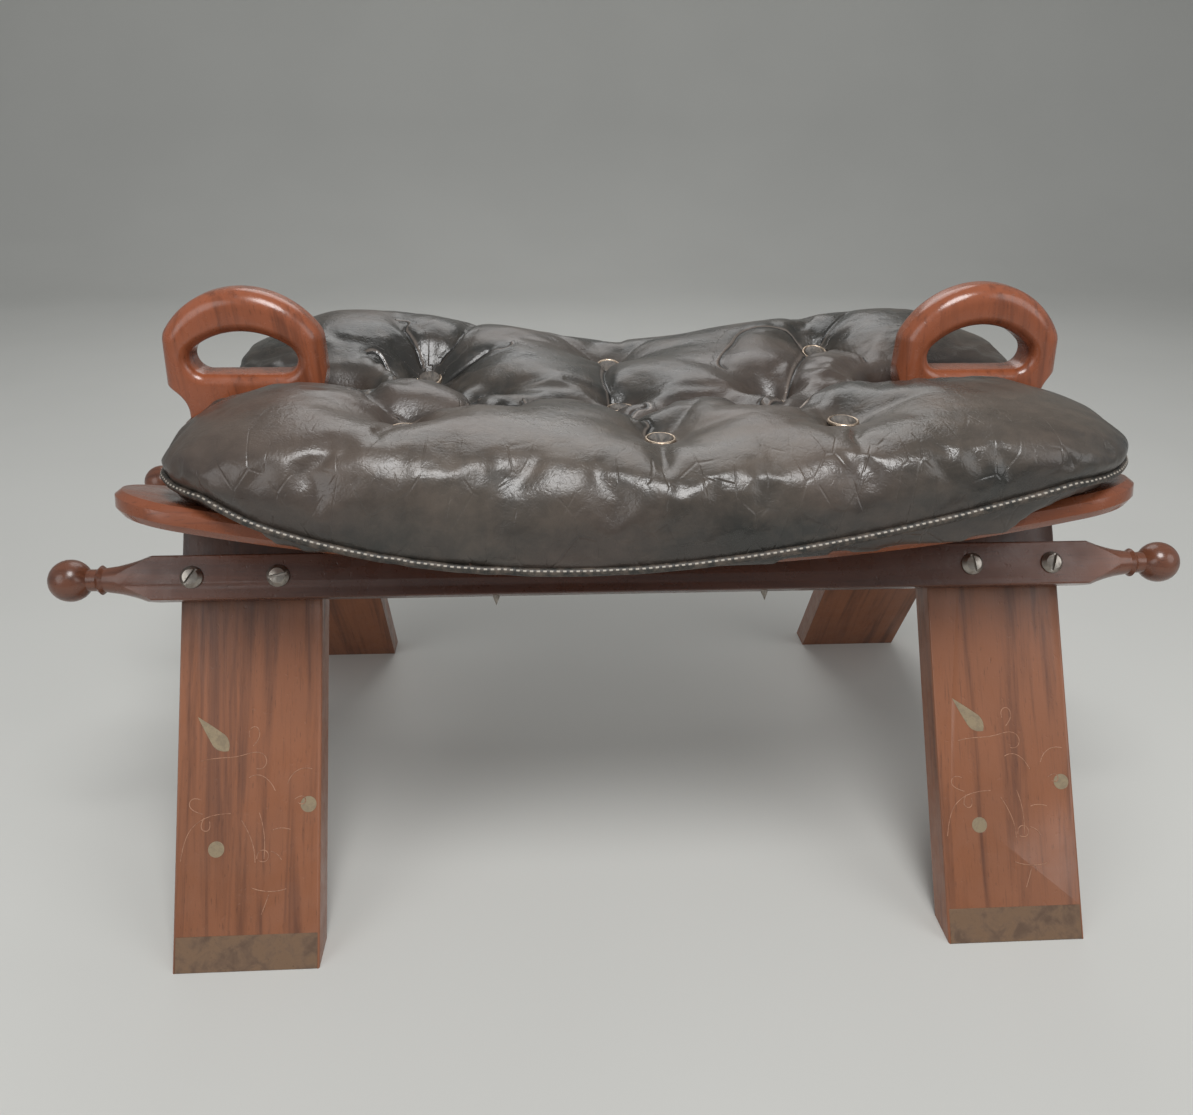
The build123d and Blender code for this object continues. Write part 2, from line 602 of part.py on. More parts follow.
def button_rim(spot, row):
    """Metal cup under a button; its edge shows as a rim."""
    return tuft_place(spot, row) * Solid.make_cylinder(BUTTON_RADIUS, RIM_HIGH)


def twine(spot, row):
    """Twine from a button down to its felt patch, and the patch inside the cushion."""
    x, y, z = spot
    tilt = (REAR_TILT, FRONT_TILT, FRONT_TILT)[row]
    floor = max(slat_top(x, max(abs(y), BELLY_Y), tilt), slat_top(x, BELLY_Y, tilt)) + SEAT_PLAY + 8.0
    line = extrude(RegularPolygon(TWINE_RADIUS, 6), amount=z - floor + 0.5).translate((x, y, floor))
    patch = Box(PATCH_WIDTH, PATCH_WIDTH, PATCH_THICK).translate((x, y, floor - PATCH_THICK / 2))
    return line, patch


def cushion():
    """Cover, under panel, welt, stuffing and tufts of the cushion, keyed by node."""
    rows = (TUFTS_REAR, TUFTS_CENTRE, TUFTS_FRONT)
    spots = [(spot, row) for row, group in enumerate(rows) for spot in group]
    slot, room = notch(), a_frame_room()
    clear = [slot, mirror_x(slot), room, mirror_x(room)]
    core = stuffing_core()
    tip = slat(REAR_TILT, rail()).rotate(Axis.Z, 180).translate((0, *WELT_CLEAR))
    twines, patches = [], []
    for spot, row in spots:
        line, patch = twine(spot, row)
        twines.append(line - [button(spot, row), button_rim(spot, row)])
        patches.append(patch)
    inside = [core] + twines + patches
    pieces = {
        "cushion_top_cover": cushion_form("top") - (clear + [funnel(spot, row) for spot, row in spots] + inside),
        "cushion_under_panel": cushion_form("under") - (clear + inside),
        "cushion_stuffing": core - (twines + patches),
        "cushion_welt": [welt(-1), welt(1) - tip],
        "tuft_twines": twines,
        "tuft_patches": patches,
    }
    for row, name in enumerate(("rear", "centre", "front")):
        pieces[f"buttons_{name}_row"] = [button(spot, row) for spot in rows[row]]
        pieces[f"button_rims_{name}_row"] = [button_rim(spot, row) for spot in rows[row]]
    return pieces


def solids_of(shape):
    """The separate solids of a result, largest first, without slivers."""
    shapes = shape if isinstance(shape, (list, tuple)) else [shape]
    found = [solid for item in shapes for solid in item.solids()]
    found.sort(key=lambda solid: -solid.volume)
    return [solid for solid in found if solid.volume > 5.0]


def main():
    os.makedirs("parts", exist_ok=True)
    holes = screw_holes()
    dowel_bore = [Solid.make_cylinder(DOWEL_RADIUS + HOLE_PLAY, 80, Plane((side * x, -40, DOWEL_Z), z_dir=(0, 1, 0)))
                  for x in DOWEL_X for side in (-1, 1)]

    # Legs with their brass. The rear pair is the front pair turned half round.
    blank = leg_blank()
    for side, name, opposite in ((1, "right", "left"), (-1, "left", "right")):
        leg = blank if side > 0 else mirror_x(blank)
        brass = inlays(side * LEG_X)
        band = foot_band(side * LEG_X)
        for piece in brass + [foot_recess(side * LEG_X)] + holes + dowel_bore:
            leg = leg - piece
        for place, turn, where in (("front", 0, name), ("rear", 180, opposite)):
            save(f"leg_{place}_{where}", leg.rotate(Axis.Z, turn))
            save(f"leg_inlay_{place}_{where}", *[piece.rotate(Axis.Z, turn) for piece in brass])
            save(f"foot_band_{place}_{where}", band.rotate(Axis.Z, turn))

    # Handles and their dowels
    save("handle_right", handle_block(HANDLE_RIGHT))
    save("handle_left", mirror_x(handle_block(HANDLE_LEFT)))
    for side, name in ((-1, "left"), (1, "right")):
        pins = [Solid.make_cylinder(DOWEL_RADIUS, 58, Plane((side * x, -29, DOWEL_Z), z_dir=(0, 1, 0)))
                for x in DOWEL_X]
        save(f"joint_dowels_{name}", *pins)

    # Rails, slats and their screws
    bar = rail()
    plain_rail = bar
    for hole in holes:
        bar = bar - hole
    turns = {"front": (55, 12, 100, 75), "rear": (20, 80, 140, 35)}
    spots = (-RAIL_SCREW_X[1], -RAIL_SCREW_X[0], RAIL_SCREW_X[0], RAIL_SCREW_X[1])
    for place, turn, tilt in (("front", 0, FRONT_TILT), ("rear", 180, REAR_TILT)):
        board = slat(tilt, plain_rail)
        side_rail = bar
        screws = []
        for x in (-SLAT_SCREW_X, SLAT_SCREW_X):
            screw, bore = slat_screw(x, tilt)
            screws.append(screw.rotate(Axis.Z, turn))
            board = board - bore
            side_rail = side_rail - bore
        save(f"seat_slat_{place}", board.rotate(Axis.Z, turn))
        save(f"side_rail_{place}", side_rail.rotate(Axis.Z, turn))
        save(f"slat_screws_{place}", *screws)
        heads = [rail_screw(x, angle).rotate(Axis.Z, turn) for x, angle in zip(spots, turns[place])]
        save(f"rail_screws_{place}", *heads)

    for node, shape in cushion().items():
        save(node, *solids_of(shape))


if __name__ == "__main__":
    main()
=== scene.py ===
from math import cos, pi, radians, sin, tan

import bmesh
import bpy
import numpy as np
from bpy.props import FloatProperty, FloatVectorProperty, PointerProperty
from bpy.types import Operator, Panel, PropertyGroup
from mathutils import Matrix, Vector
from mathutils.bvhtree import BVHTree


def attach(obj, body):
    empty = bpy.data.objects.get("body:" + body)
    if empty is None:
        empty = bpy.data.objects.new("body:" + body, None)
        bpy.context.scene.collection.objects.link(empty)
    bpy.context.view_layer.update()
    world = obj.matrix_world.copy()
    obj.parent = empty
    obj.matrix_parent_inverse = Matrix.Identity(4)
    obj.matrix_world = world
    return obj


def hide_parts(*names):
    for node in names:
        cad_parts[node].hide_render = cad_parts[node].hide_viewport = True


bl_info = {
    "name": "Camel Saddle Stool",
    "version": (1, 0, 0),
    "blender": (4, 5, 0),
    "location": "View3D > Sidebar > Saddle Stool",
    "description": "Dresses the saddle stool: rosewood frame, brass inlay and a tufted leather cushion",
    "category": "Object",
}

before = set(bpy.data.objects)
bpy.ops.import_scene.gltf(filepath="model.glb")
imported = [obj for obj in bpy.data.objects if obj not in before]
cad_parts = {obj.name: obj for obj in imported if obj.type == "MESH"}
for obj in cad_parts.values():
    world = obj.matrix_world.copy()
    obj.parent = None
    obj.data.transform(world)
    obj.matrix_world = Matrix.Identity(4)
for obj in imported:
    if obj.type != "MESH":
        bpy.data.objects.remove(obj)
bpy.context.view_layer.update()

MM = 0.001

# The frame's measures, in millimetres as in the part's source
SPLAY = 31.3
FOOT_Y = 191.0
LEG_X = 224.0
LEG_WIDTH = 82.0
LEG_TOP = 272.0
RAIL_HIGH = 236.5
RAIL_THICK = 16.0
SLAT_LENGTH = 562.0
SLAT_WIDTH = 84.0
SLAT_THICK = 13.0
SLAT_BOW = 32.0
SLAT_GAP = 1.2
SEAT_CUT = 1.8
SLAT_TILT = (16.0, SPLAY)
LEAN = (sin(radians(SPLAY)), cos(radians(SPLAY)))

# The cushion's measures
CUSHION_SHIFT = 10.0
CUSHION_HALF = 264.0
CUSHION_DEPTH = 156.0
CORNER_DEPTH = 86.0
CROWN_PEAK = 0.72
MIDDLE_TOP = (284.0, 281.0, 284.0)
PEAK_TOP = (300.0, 295.0, 306.0)
SEAM_LOW = 230.5
SEAM_LOW_AT = -0.15
SEAM_LEFT = (81.6, 2.46, 0.73)
SEAM_RIGHT = (45.5, 1.62, 0.95)
REAR_SEAM = (247.0, 280.0)
REAR_LEAN = 12.0
BULGE = 8.0
END_THICK = 11.0
WELT = 2.3
# Radius of the rolled edge along the arches
FOLD_EDGE = 0.75
SEAT_PLAY = 1.9
EDGE_WRAP = 3.4
WRAP_ROOM = 5.1
PANEL_EDGE = 5.0
# How far the underside hangs down in front of the front slat, and where that tapers off; the flap is partly
# the real under panel and partly a dark sheet standing in for the shade under the front roll
FLAP_DROP = 14.0
FLAP_ENDS = (182.0, 232.0)
# How far the cover and the under panel run past each other behind the welt
SEAM_LAP = 1.4
BELLY_Y = 62.0
NOTCH_HALF = 17.0
NOTCH_END = 173.0
NOTCH_FLARE = 28.0
NOTCH_LOW = 270.0
TUFTS = (
    ((-127, 60, 275), (-3, 84, 276), (145, 86, 285)),
    ((-86, 0, 271), (-1, 0, 270), (96, 0, 273)),
    ((-129, -76, 281), (15, -82, 276), (118, -84, 286)),
)
TUFT_LEAN = (22.0, 0.0, 3.0)
BUTTON_RADIUS = 9.0
# Each button's flat seat, and how far the leather lies below the button there
TUFT_FLAT = 7.5
TUFT_SINK = 0.8
# Folds: depths from which one is held while swelling and is shown in the leather's colour as painted shade and
# highlight, lip from which its edge gets a painted highlight, deepest drop, and the distance that stands for
# no fold near
DEEP_FOLD = 3.2
FOLD_HOLD = 0.35
SHOWN_FOLD = 1.9
HIGHLIT_LIP = 1.5
DEEPEST_FOLD = 12.0
NO_FOLD = 30.0
# Mesh size of the formed cushion and the length of its swelling
VOXEL = 4.6
SWELL_FRAMES = 20
# Hollows in front of the outer rear buttons: middle, half widths and depth
BASINS = (((-127, 34), (38, 30), 23.0), ((148, 56), (30, 24), 7.0))

# Scalloped rear edge of the front roll: points of each arch, drop behind it, height of its lip
ARCHES = (
    (((-86, -60), (-70, -55), (-56, -37), (-36, -26), (-20, -29), (-6, -50)), 8.5, 1.8),
    (((-6, -50), (8, -44), (26, -32), (44, -24), (60, -27), (71, -42), (83, -59)), 8.5, 1.8),
    (((83, -59), (98, -56), (114, -35), (131, -24), (152, -27)), 8.0, 2.0),
    (((-154, -52), (-141, -62), (-118, -66), (-98, -64), (-86, -60)), 4.0, 0.8),
)
# Creases that run out from the buttons: points, depth, height of the lip
CREASES = (
    (((-118, 46), (-108, 14), (-96, -18), (-86, -54)), 4.6, 1.2),
    (((-133, 56), (-142, 42), (-160, 46)), 4.0, 1.2),
    (((-133, 68), (-149, 93)), 3.4, 1.2),
    (((-120, 70), (-109, 80), (-101, 112)), 3.4, 1.2),
    (((-117, 52), (-98, 57), (-78, 69)), 3.0, 1.0),
    (((-129, 40), (-147, -2), (-153, -28), (-154, -48)), 4.0, 1.2),
    (((-5, 76), (-9, 34), (-6, 0), (-6, -44)), 3.8, 1.0),
    (((-12, 90), (-34, 108), (-62, 122)), 1.8, 0.4),
    (((5, 90), (26, 106), (54, 116)), 1.8, 0.4),
    (((136, 76), (121, 36), (104, -6), (86, -54)), 3.8, 1.0),
    (((154, 84), (164, 50), (166, 16), (160, -18)), 3.6, 1.0),
    (((152, 95), (168, 112), (182, 132)), 2.4, 0.6),
    (((136, 92), (117, 100), (90, 84), (73, 30)), 2.0, 0.4),
    (((-4, -52), (8, -58), (14, -74)), 2.4, 0.6),
    (((14, -92), (12, -120), (8, -146)), 1.8, 0.4),
    (((119, -93), (117, -112), (110, -134)), 1.8, 0.4),
    (((110, -90), (92, -100), (80, -104)), 1.2, 0.3),
    (((-86, -58), (-92, -44), (-96, -30)), 2.6, 0.8),
    (((-84, -58), (-77, -42), (-68, -30)), 2.6, 0.8),
    (((-5, -49), (2, -34), (8, -22)), 2.2, 0.6),
    (((84, -58), (82, -40), (80, -24)), 2.4, 0.8),
    (((-129, -84), (-132, -104), (-138, -128)), 1.4, 0.3),
)


def srgb(red, green, blue):
    """A colour given as 0 to 255 in the screen's scale, made linear."""
    scaled = [value / 255 for value in (red, green, blue)]
    return tuple(v / 12.92 if v <= 0.04045 else ((v + 0.055) / 1.055) ** 2.4 for v in scaled)


class StoolSizes(PropertyGroup):
    edge_ease: FloatProperty(
        name="Edge Ease", description="How far the frame's edges are worn round",
        default=0.0007, min=0.0, max=0.004, unit="LENGTH")
    slat_nose: FloatProperty(
        name="Slat Nose", description="Rounding of the slats' edges",
        default=0.0030, min=0.0, max=0.006, unit="LENGTH")
    pillow_rise: FloatProperty(
        name="Pillow Rise", description="How far the leather swells between the buttons",
        default=0.0085, min=0.0, max=0.02, unit="LENGTH")
    fold_depth: FloatProperty(
        name="Fold Depth", description="Depth of the folds between the buttons, as a share",
        default=1.0, min=0.0, max=2.0, subtype="FACTOR")
    swell_cap: FloatProperty(
        name="Swell Cap", description="Most that the stuffing may push the leather out",
        default=0.006, min=0.0, max=0.02, unit="LENGTH")
    stitch_pitch: FloatProperty(
        name="Stitch Pitch", description="Distance from stitch to stitch along the welt",
        default=0.0034, min=0.002, max=0.02, unit="LENGTH")
    wire_radius: FloatProperty(
        name="Wire Radius", description="Radius of the inlaid vine wires",
        default=0.0003, min=0.0001, max=0.002, unit="LENGTH")


class StoolColours(PropertyGroup):
    handle_wood: FloatVectorProperty(
        name="Handle Wood", description="Main colour of the handles",
        default=srgb(146, 82, 54), min=0, max=1, subtype="COLOR")
    leg_wood: FloatVectorProperty(
        name="Leg Wood", description="Light colour of the leg planks",
        default=srgb(134, 84, 56), min=0, max=1, subtype="COLOR")
    rail_wood: FloatVectorProperty(
        name="Rail Wood", description="Light colour of the side rails",
        default=srgb(108, 66, 48), min=0, max=1, subtype="COLOR")
    slat_wood: FloatVectorProperty(
        name="Slat Wood", description="Main colour of the seat slats",
        default=srgb(124, 70, 46), min=0, max=1, subtype="COLOR")
    dark_grain: FloatVectorProperty(
        name="Dark Grain", description="Colour of the rosewood's dark streaks",
        default=srgb(62, 35, 26), min=0, max=1, subtype="COLOR")
    leather: FloatVectorProperty(
        name="Leather", description="Colour of the leather where it is unworn",
        default=srgb(40, 39, 36), min=0, max=1, subtype="COLOR")
    leather_worn: FloatVectorProperty(
        name="Worn Leather", description="Colour of the leather where it is rubbed",
        default=srgb(90, 80, 71), min=0, max=1, subtype="COLOR")
    brass: FloatVectorProperty(
        name="Inlay Brass", description="Colour of the inlaid leaves and discs",
        default=srgb(156, 140, 114), min=0, max=1, subtype="COLOR")
    foot_brass: FloatVectorProperty(
        name="Foot Brass", description="Colour of the tarnished foot bands",
        default=srgb(128, 102, 80), min=0, max=1, subtype="COLOR")
    steel: FloatVectorProperty(
        name="Steel", description="Colour of the screws and the button rims",
        default=srgb(168, 162, 154), min=0, max=1, subtype="COLOR")
    floor: FloatVectorProperty(
        name="Floor", description="Colour of the floor and backdrop",
        default=srgb(206, 206, 202), min=0, max=1, subtype="COLOR")


def sizes():
    return bpy.context.scene.stool_sizes


def colours():
    return bpy.context.scene.stool_colours


# Materials

def add(tree, kind, settings=None, **sockets):
    """A node with its settings and its sockets, which are given by identifier as values or as links."""
    made = tree.nodes.new(kind)
    for key, value in (settings or {}).items():
        setattr(made, key, value)
    for socket in made.inputs:
        name = socket.identifier.replace(" ", "_")
        if name in sockets:
            value = sockets.pop(name)
            if isinstance(value, bpy.types.NodeSocket):
                tree.links.new(value, socket)
            else:
                socket.default_value = value
    if sockets:
        raise RuntimeError(f"{kind} has no socket named {sorted(sockets)}")
    return made


def opaque(colour):
    return (*colour, 1.0)


def darker(colour, share):
    """The colour dimmed to a share of itself, opaque."""
    return opaque([value * share for value in colour])


def cells(tree, vector, scale, feature="DISTANCE_TO_EDGE", randomness=1.0):
    """Distances in a field of irregular cells."""
    made = add(tree, "ShaderNodeTexVoronoi", {"feature": feature}, Vector=vector, Scale=scale,
               Randomness=randomness)
    return made.outputs["Distance"]


def calc(tree, operation, first, second=0.0, clamp=False):
    made = add(tree, "ShaderNodeMath", {"operation": operation, "use_clamp": clamp},
               Value=first, Value_001=second)
    return made.outputs[0]


def blend_colours(tree, factor, first, second, kind="MIX"):
    made = add(tree, "ShaderNodeMix", {"data_type": "RGBA", "blend_type": kind},
               Factor_Float=factor, A_Color=first, B_Color=second)
    return made.outputs["Result"] if made.outputs["Result"].type == "RGBA" else made.outputs[2]


def spread(tree, value, low, high, to_low=0.0, to_high=1.0):
    made = add(tree, "ShaderNodeMapRange", {"interpolation_type": "SMOOTHSTEP"},
               Value=value, From_Min=low, From_Max=high, To_Min=to_low, To_Max=to_high)
    return made.outputs[0]


def noise(tree, vector, scale, detail=3.0, roughness=0.55, distortion=0.0):
    made = add(tree, "ShaderNodeTexNoise", None, Vector=vector, Scale=scale, Detail=detail,
               Roughness=roughness, Distortion=distortion)
    return made.outputs["Fac"]


def start_material(name):
    """An empty material with its shader: the material, its tree and the shader node."""
    made = bpy.data.materials.new(name)
    made.use_nodes = True
    tree = made.node_tree
    tree.nodes.clear()
    output = tree.nodes.new("ShaderNodeOutputMaterial")
    shader = tree.nodes.new("ShaderNodeBsdfPrincipled")
    tree.links.new(shader.outputs[0], output.inputs[0])
    return made, tree, shader


def plug(tree, shader, **sockets):
    for name, value in sockets.items():
        socket = shader.inputs[name.replace("_", " ")]
        if isinstance(value, bpy.types.NodeSocket):
            tree.links.new(value, socket)
        else:
            socket.default_value = value


def bump(tree, height, strength, distance, below=None):
    sockets = {"Height": height, "Strength": strength, "Distance": distance}
    if below is not None:
        sockets["Normal"] = below
    return add(tree, "ShaderNodeBump", None, **sockets).outputs[0]


def rosewood(name, light, dark, turn=(0.0, 0.0, 0.0), shift=(0.0, 0.0, 0.0), streaks=0.55,
             gloss=0.3, deepen=None, shaded_middle=None):
    """Varnished rosewood whose grain runs along the turned Z axis. deepen = (low, high) darkens towards the
    top as painted shade under the seat, and the last pair (low, high) darkens towards the middle of a rail as
    painted shade under the cushion."""
    made, tree, shader = start_material(name)
    place = add(tree, "ShaderNodeTexCoord").outputs["Object"]
    turned = add(tree, "ShaderNodeMapping", None, Vector=place, Rotation=turn, Location=shift).outputs[0]
    along = add(tree, "ShaderNodeMapping", None, Vector=turned, Scale=(1.0, 1.0, 0.055)).outputs[0]
    loose = add(tree, "ShaderNodeMapping", None, Vector=turned, Scale=(1.0, 1.0, 0.16)).outputs[0]
    broad = noise(tree, along, 30.0, 3.0, 0.6, 1.6)
    middle = noise(tree, along, 130.0, 4.0, 0.65, 0.8)
    fine = noise(tree, along, 520.0, 4.0, 0.7)
    pores = noise(tree, loose, 900.0, 2.0, 0.5)
    patch = noise(tree, turned, 14.0, 2.0, 0.5)
    mixed = calc(tree, "ADD", calc(tree, "MULTIPLY", middle, 0.5), calc(tree, "MULTIPLY", broad, 0.5))
    streak = spread(tree, mixed, 0.46, 0.66)
    rich = tuple(min(1.0, v * k) for v, k in zip(light, (1.14, 1.10, 1.04)))
    body = blend_colours(tree, spread(tree, patch, 0.3, 0.72), opaque(light), opaque(rich))
    body = blend_colours(tree, calc(tree, "MULTIPLY", streak, streaks), body, opaque(dark))
    for grain, low, high, most, shade in ((fine, 0.55, 0.8, 0.42, 0.5), (pores, 0.62, 0.74, 0.30, 0.3)):
        body = blend_colours(tree, spread(tree, grain, low, high, 0.0, most), body, darker(dark, shade))
    # Painted shade: the wood darkens towards the top, where the seat and cushion shade the legs.
    if deepen:
        height = add(tree, "ShaderNodeSeparateXYZ", None, Vector=place).outputs["Z"]
        uneven = calc(tree, "ADD", height, calc(tree, "MULTIPLY", broad, 0.05))
        body = blend_colours(tree, spread(tree, uneven, *deepen, 0.0, 0.72), body, darker(dark, 0.42))
    # Painted shade: the wood darkens towards a rail's middle, under the cushion.
    if shaded_middle:
        across = add(tree, "ShaderNodeSeparateXYZ", None, Vector=place).outputs["X"]
        along_rail = calc(tree, "ABSOLUTE", across)
        uneven = calc(tree, "ADD", along_rail, calc(tree, "MULTIPLY", broad, 0.05))
        body = blend_colours(tree, spread(tree, uneven, *shaded_middle, 0.62, 0.0), body, darker(dark, 0.6))
    rub = noise(tree, place, 55.0, 4.0, 0.65)
    rough = calc(tree, "ADD", spread(tree, rub, 0.35, 0.7, gloss - 0.05, gloss + 0.16),
                 calc(tree, "MULTIPLY", fine, 0.08))
    slanted = add(tree, "ShaderNodeMapping", None, Vector=place, Rotation=(0.5, 0.9, 0.3),
                  Scale=(1.0, 0.03, 1.0)).outputs[0]
    scratch = noise(tree, slanted, 330.0, 1.0, 0.4)
    height = calc(tree, "ADD", calc(tree, "MULTIPLY", fine, 0.5), calc(tree, "MULTIPLY", pores, -0.35))
    height = calc(tree, "ADD", height, spread(tree, scratch, 0.70, 0.76, 0.0, -0.8))
    normal = bump(tree, rub, 0.25, 0.0008, bump(tree, height, 0.5, 0.0002))
    plug(tree, shader, Base_Color=body, Roughness=rough, Normal=normal, Coat_Weight=0.35,
         Coat_Roughness=0.18)
    return made


def metal(name, colour, dull, rough=0.38, tarnish=0.5, scale=1.0, polish=1.0):
    """Worn metal whose tarnish gathers in patches."""
    made, tree, shader = start_material(name)
    place = add(tree, "ShaderNodeTexCoord").outputs["Object"]
    patch = noise(tree, place, 160.0 * scale, 4.0, 0.65, 0.4)
    speck = noise(tree, place, 900.0 * scale, 3.0, 0.7)
    cover = calc(tree, "MULTIPLY", spread(tree, patch, 0.38, 0.66), tarnish, True)
    body = blend_colours(tree, cover, opaque(colour), opaque(dull))
    body = blend_colours(tree, spread(tree, speck, 0.62, 0.76, 0.0, 0.5), body, darker(dull, 0.35))
    roughness = calc(tree, "ADD", rough, calc(tree, "MULTIPLY", cover, 0.35))
    metallic = calc(tree, "SUBTRACT", polish, calc(tree, "MULTIPLY", cover, 0.55), True)
    height = calc(tree, "ADD", calc(tree, "MULTIPLY", patch, 0.7), calc(tree, "MULTIPLY", speck, 0.3))
    plug(tree, shader, Base_Color=body, Roughness=roughness, Metallic=metallic,
         Normal=bump(tree, height, 0.4, 0.0003))
    return made


def cushion_leather():
    """Old buffalo leather: fine pebble grain, rubbed patches with painted shade kept low on the front roll,
    and folds read from the mesh, with painted shade in their grooves and painted highlights on their lips.
    """
    made, tree, shader = start_material("buffalo_leather")
    place = add(tree, "ShaderNodeTexCoord").outputs["Object"]
    fold = add(tree, "ShaderNodeAttribute", {"attribute_name": "fold"}).outputs["Fac"]
    worn = add(tree, "ShaderNodeAttribute", {"attribute_name": "worn"}).outputs["Fac"]
    drag = add(tree, "ShaderNodeMapping", None, Vector=place, Scale=(0.45, 1.0, 1.0)).outputs[0]
    cloud = noise(tree, drag, 24.0, 5.0, 0.62, 0.5)
    mottle = noise(tree, place, 95.0, 4.0, 0.65, 0.3)
    speck = noise(tree, place, 620.0, 3.0, 0.7)
    pebble = cells(tree, place, 720.0, "F1")
    wander = add(tree, "ShaderNodeTexNoise", None, Vector=place, Scale=30.0, Detail=3.0).outputs["Color"]
    strayed = add(tree, "ShaderNodeVectorMath", {"operation": "ADD"}, Vector=drag, Vector_001=wander)
    cracks = cells(tree, strayed.outputs[0], 7.5)
    dark, pale = colours().leather, colours().leather_worn
    # The wear attribute lightens rubbed leather and stays low under the front roll, which keeps it dark there
    # as painted shade.
    share = calc(tree, "ADD", calc(tree, "MULTIPLY", worn, 0.75),
                 spread(tree, cloud, 0.34, 0.72, -0.12, 0.42))
    share = calc(tree, "ADD", share, spread(tree, mottle, 0.35, 0.7, -0.10, 0.16), True)
    body = blend_colours(tree, share, opaque(dark), opaque(pale))
    warm = blend_colours(tree, spread(tree, noise(tree, place, 9.0, 2.0), 0.42, 0.66, 0.0, 0.4), body,
                         opaque(srgb(86, 70, 62)))
    body = blend_colours(tree, spread(tree, speck, 0.6, 0.78, 0.0, 0.22), warm, darker(dark, 0.4))
    away = calc(tree, "ABSOLUTE", fold)
    # Painted shade: leather within about a millimetre of a fold line is darkened almost to black.
    groove_shade = spread(tree, away, 0.15, 1.1, 1.0, 0.0)
    # Painted highlight: a pale band on the front side of each fold, beside its groove.
    lip = calc(tree, "MULTIPLY", spread(tree, away, 0.9, 1.6), spread(tree, away, 1.8, 3.4, 1.0, 0.0))
    lip = calc(tree, "MULTIPLY", lip, spread(tree, fold, -0.5, 0.5, 1.0, 0.0))
    # The rubbed attribute sets how strong the painted lip highlight is.
    rubbed = add(tree, "ShaderNodeAttribute", {"attribute_name": "rubbed"}).outputs["Fac"]
    body = blend_colours(tree, calc(tree, "MULTIPLY", lip, calc(tree, "ADD", 0.3, rubbed), True), body,
                         opaque(srgb(172, 158, 148)))
    body = blend_colours(tree, calc(tree, "MULTIPLY", groove_shade, 0.85), body, opaque(srgb(12, 11, 11)))
    rough = spread(tree, cloud, 0.3, 0.75, 0.24, 0.42)
    rough = calc(tree, "SUBTRACT", rough, calc(tree, "MULTIPLY", lip, 0.10))
    valley = spread(tree, away, 0.0, 2.6)
    normal = bump(tree, valley, 0.55, 0.0014)
    back = add(tree, "ShaderNodeSeparateXYZ", None, Vector=place).outputs["Y"]
    low = spread(tree, back, -0.145, -0.115, 1.0, 0.0)
    slanted = add(tree, "ShaderNodeMapping", None, Vector=place, Rotation=(0.0, radians(32), 0.0),
                  Scale=(1.0, 0.4, 0.6)).outputs[0]
    slashes = cells(tree, slanted, 62.0, randomness=0.9)
    slash = calc(tree, "MULTIPLY", spread(tree, slashes, 0.0, 0.045, 1.0, 0.0), low)
    slash = calc(tree, "MULTIPLY", slash, spread(tree, noise(tree, place, 46.0, 2.0), 0.44, 0.58))
    normal = bump(tree, slash, 0.35, -0.0008, normal)
    normal = bump(tree, spread(tree, cracks, 0.0, 0.05), 0.12, 0.0004, normal)
    normal = bump(tree, mottle, 0.35, 0.0014, normal)
    grain = calc(tree, "ADD", calc(tree, "MULTIPLY", pebble, -0.6), calc(tree, "MULTIPLY", speck, 0.4))
    normal = bump(tree, grain, 0.22, 0.00035, normal)
    plug(tree, shader, Base_Color=body, Roughness=rough, Normal=normal, Specular_IOR_Level=0.7)
    return made


def cord_leather():
    """Leather rolled round the welt cord, with its row of stitches, laid out on the tube's own UV map."""
    made, tree, shader = start_material("welt_leather")
    place = add(tree, "ShaderNodeTexCoord")
    along = add(tree, "ShaderNodeSeparateXYZ", None, Vector=place.outputs["UV"])
    beat = calc(tree, "FRACT", calc(tree, "DIVIDE", along.outputs["X"], sizes().stitch_pitch))
    mark = calc(tree, "MULTIPLY", spread(tree, beat, 0.12, 0.2), spread(tree, beat, 0.62, 0.7, 1.0, 0.0))
    row = calc(tree, "MULTIPLY", spread(tree, along.outputs["Y"], 0.06, 0.09),
               spread(tree, along.outputs["Y"], 0.12, 0.15, 1.0, 0.0))
    stitch = calc(tree, "MULTIPLY", mark, row)
    mottle = noise(tree, place.outputs["Object"], 190.0, 4.0, 0.7)
    body = blend_colours(tree, spread(tree, mottle, 0.35, 0.7), opaque(colours().leather),
                         opaque(colours().leather_worn))
    body = blend_colours(tree, stitch, body, opaque(srgb(172, 164, 152)))
    pucker = calc(tree, "PINGPONG", calc(tree, "DIVIDE", along.outputs["X"], sizes().stitch_pitch), 0.5)
    height = calc(tree, "ADD", calc(tree, "MULTIPLY", pucker, 0.8), calc(tree, "MULTIPLY", mottle, 0.5))
    plug(tree, shader, Base_Color=body, Roughness=0.48, Normal=bump(tree, height, 0.6, 0.0007))
    return made


def button_cover_leather(name, light, dark, scale, roughness):
    """Rubbed leather of the buttons: short fibres in two tones."""
    made, tree, shader = start_material(name)
    place = add(tree, "ShaderNodeTexCoord").outputs["Object"]
    drawn = add(tree, "ShaderNodeMapping", None, Vector=place, Scale=(1.0, 0.2, 1.0)).outputs[0]
    fibre = noise(tree, drawn, scale, 4.0, 0.75, 0.8)
    body = blend_colours(tree, spread(tree, fibre, 0.35, 0.65), opaque(dark), opaque(light))
    plug(tree, shader, Base_Color=body, Roughness=roughness, Normal=bump(tree, fibre, 0.7, 0.0008))
    return made


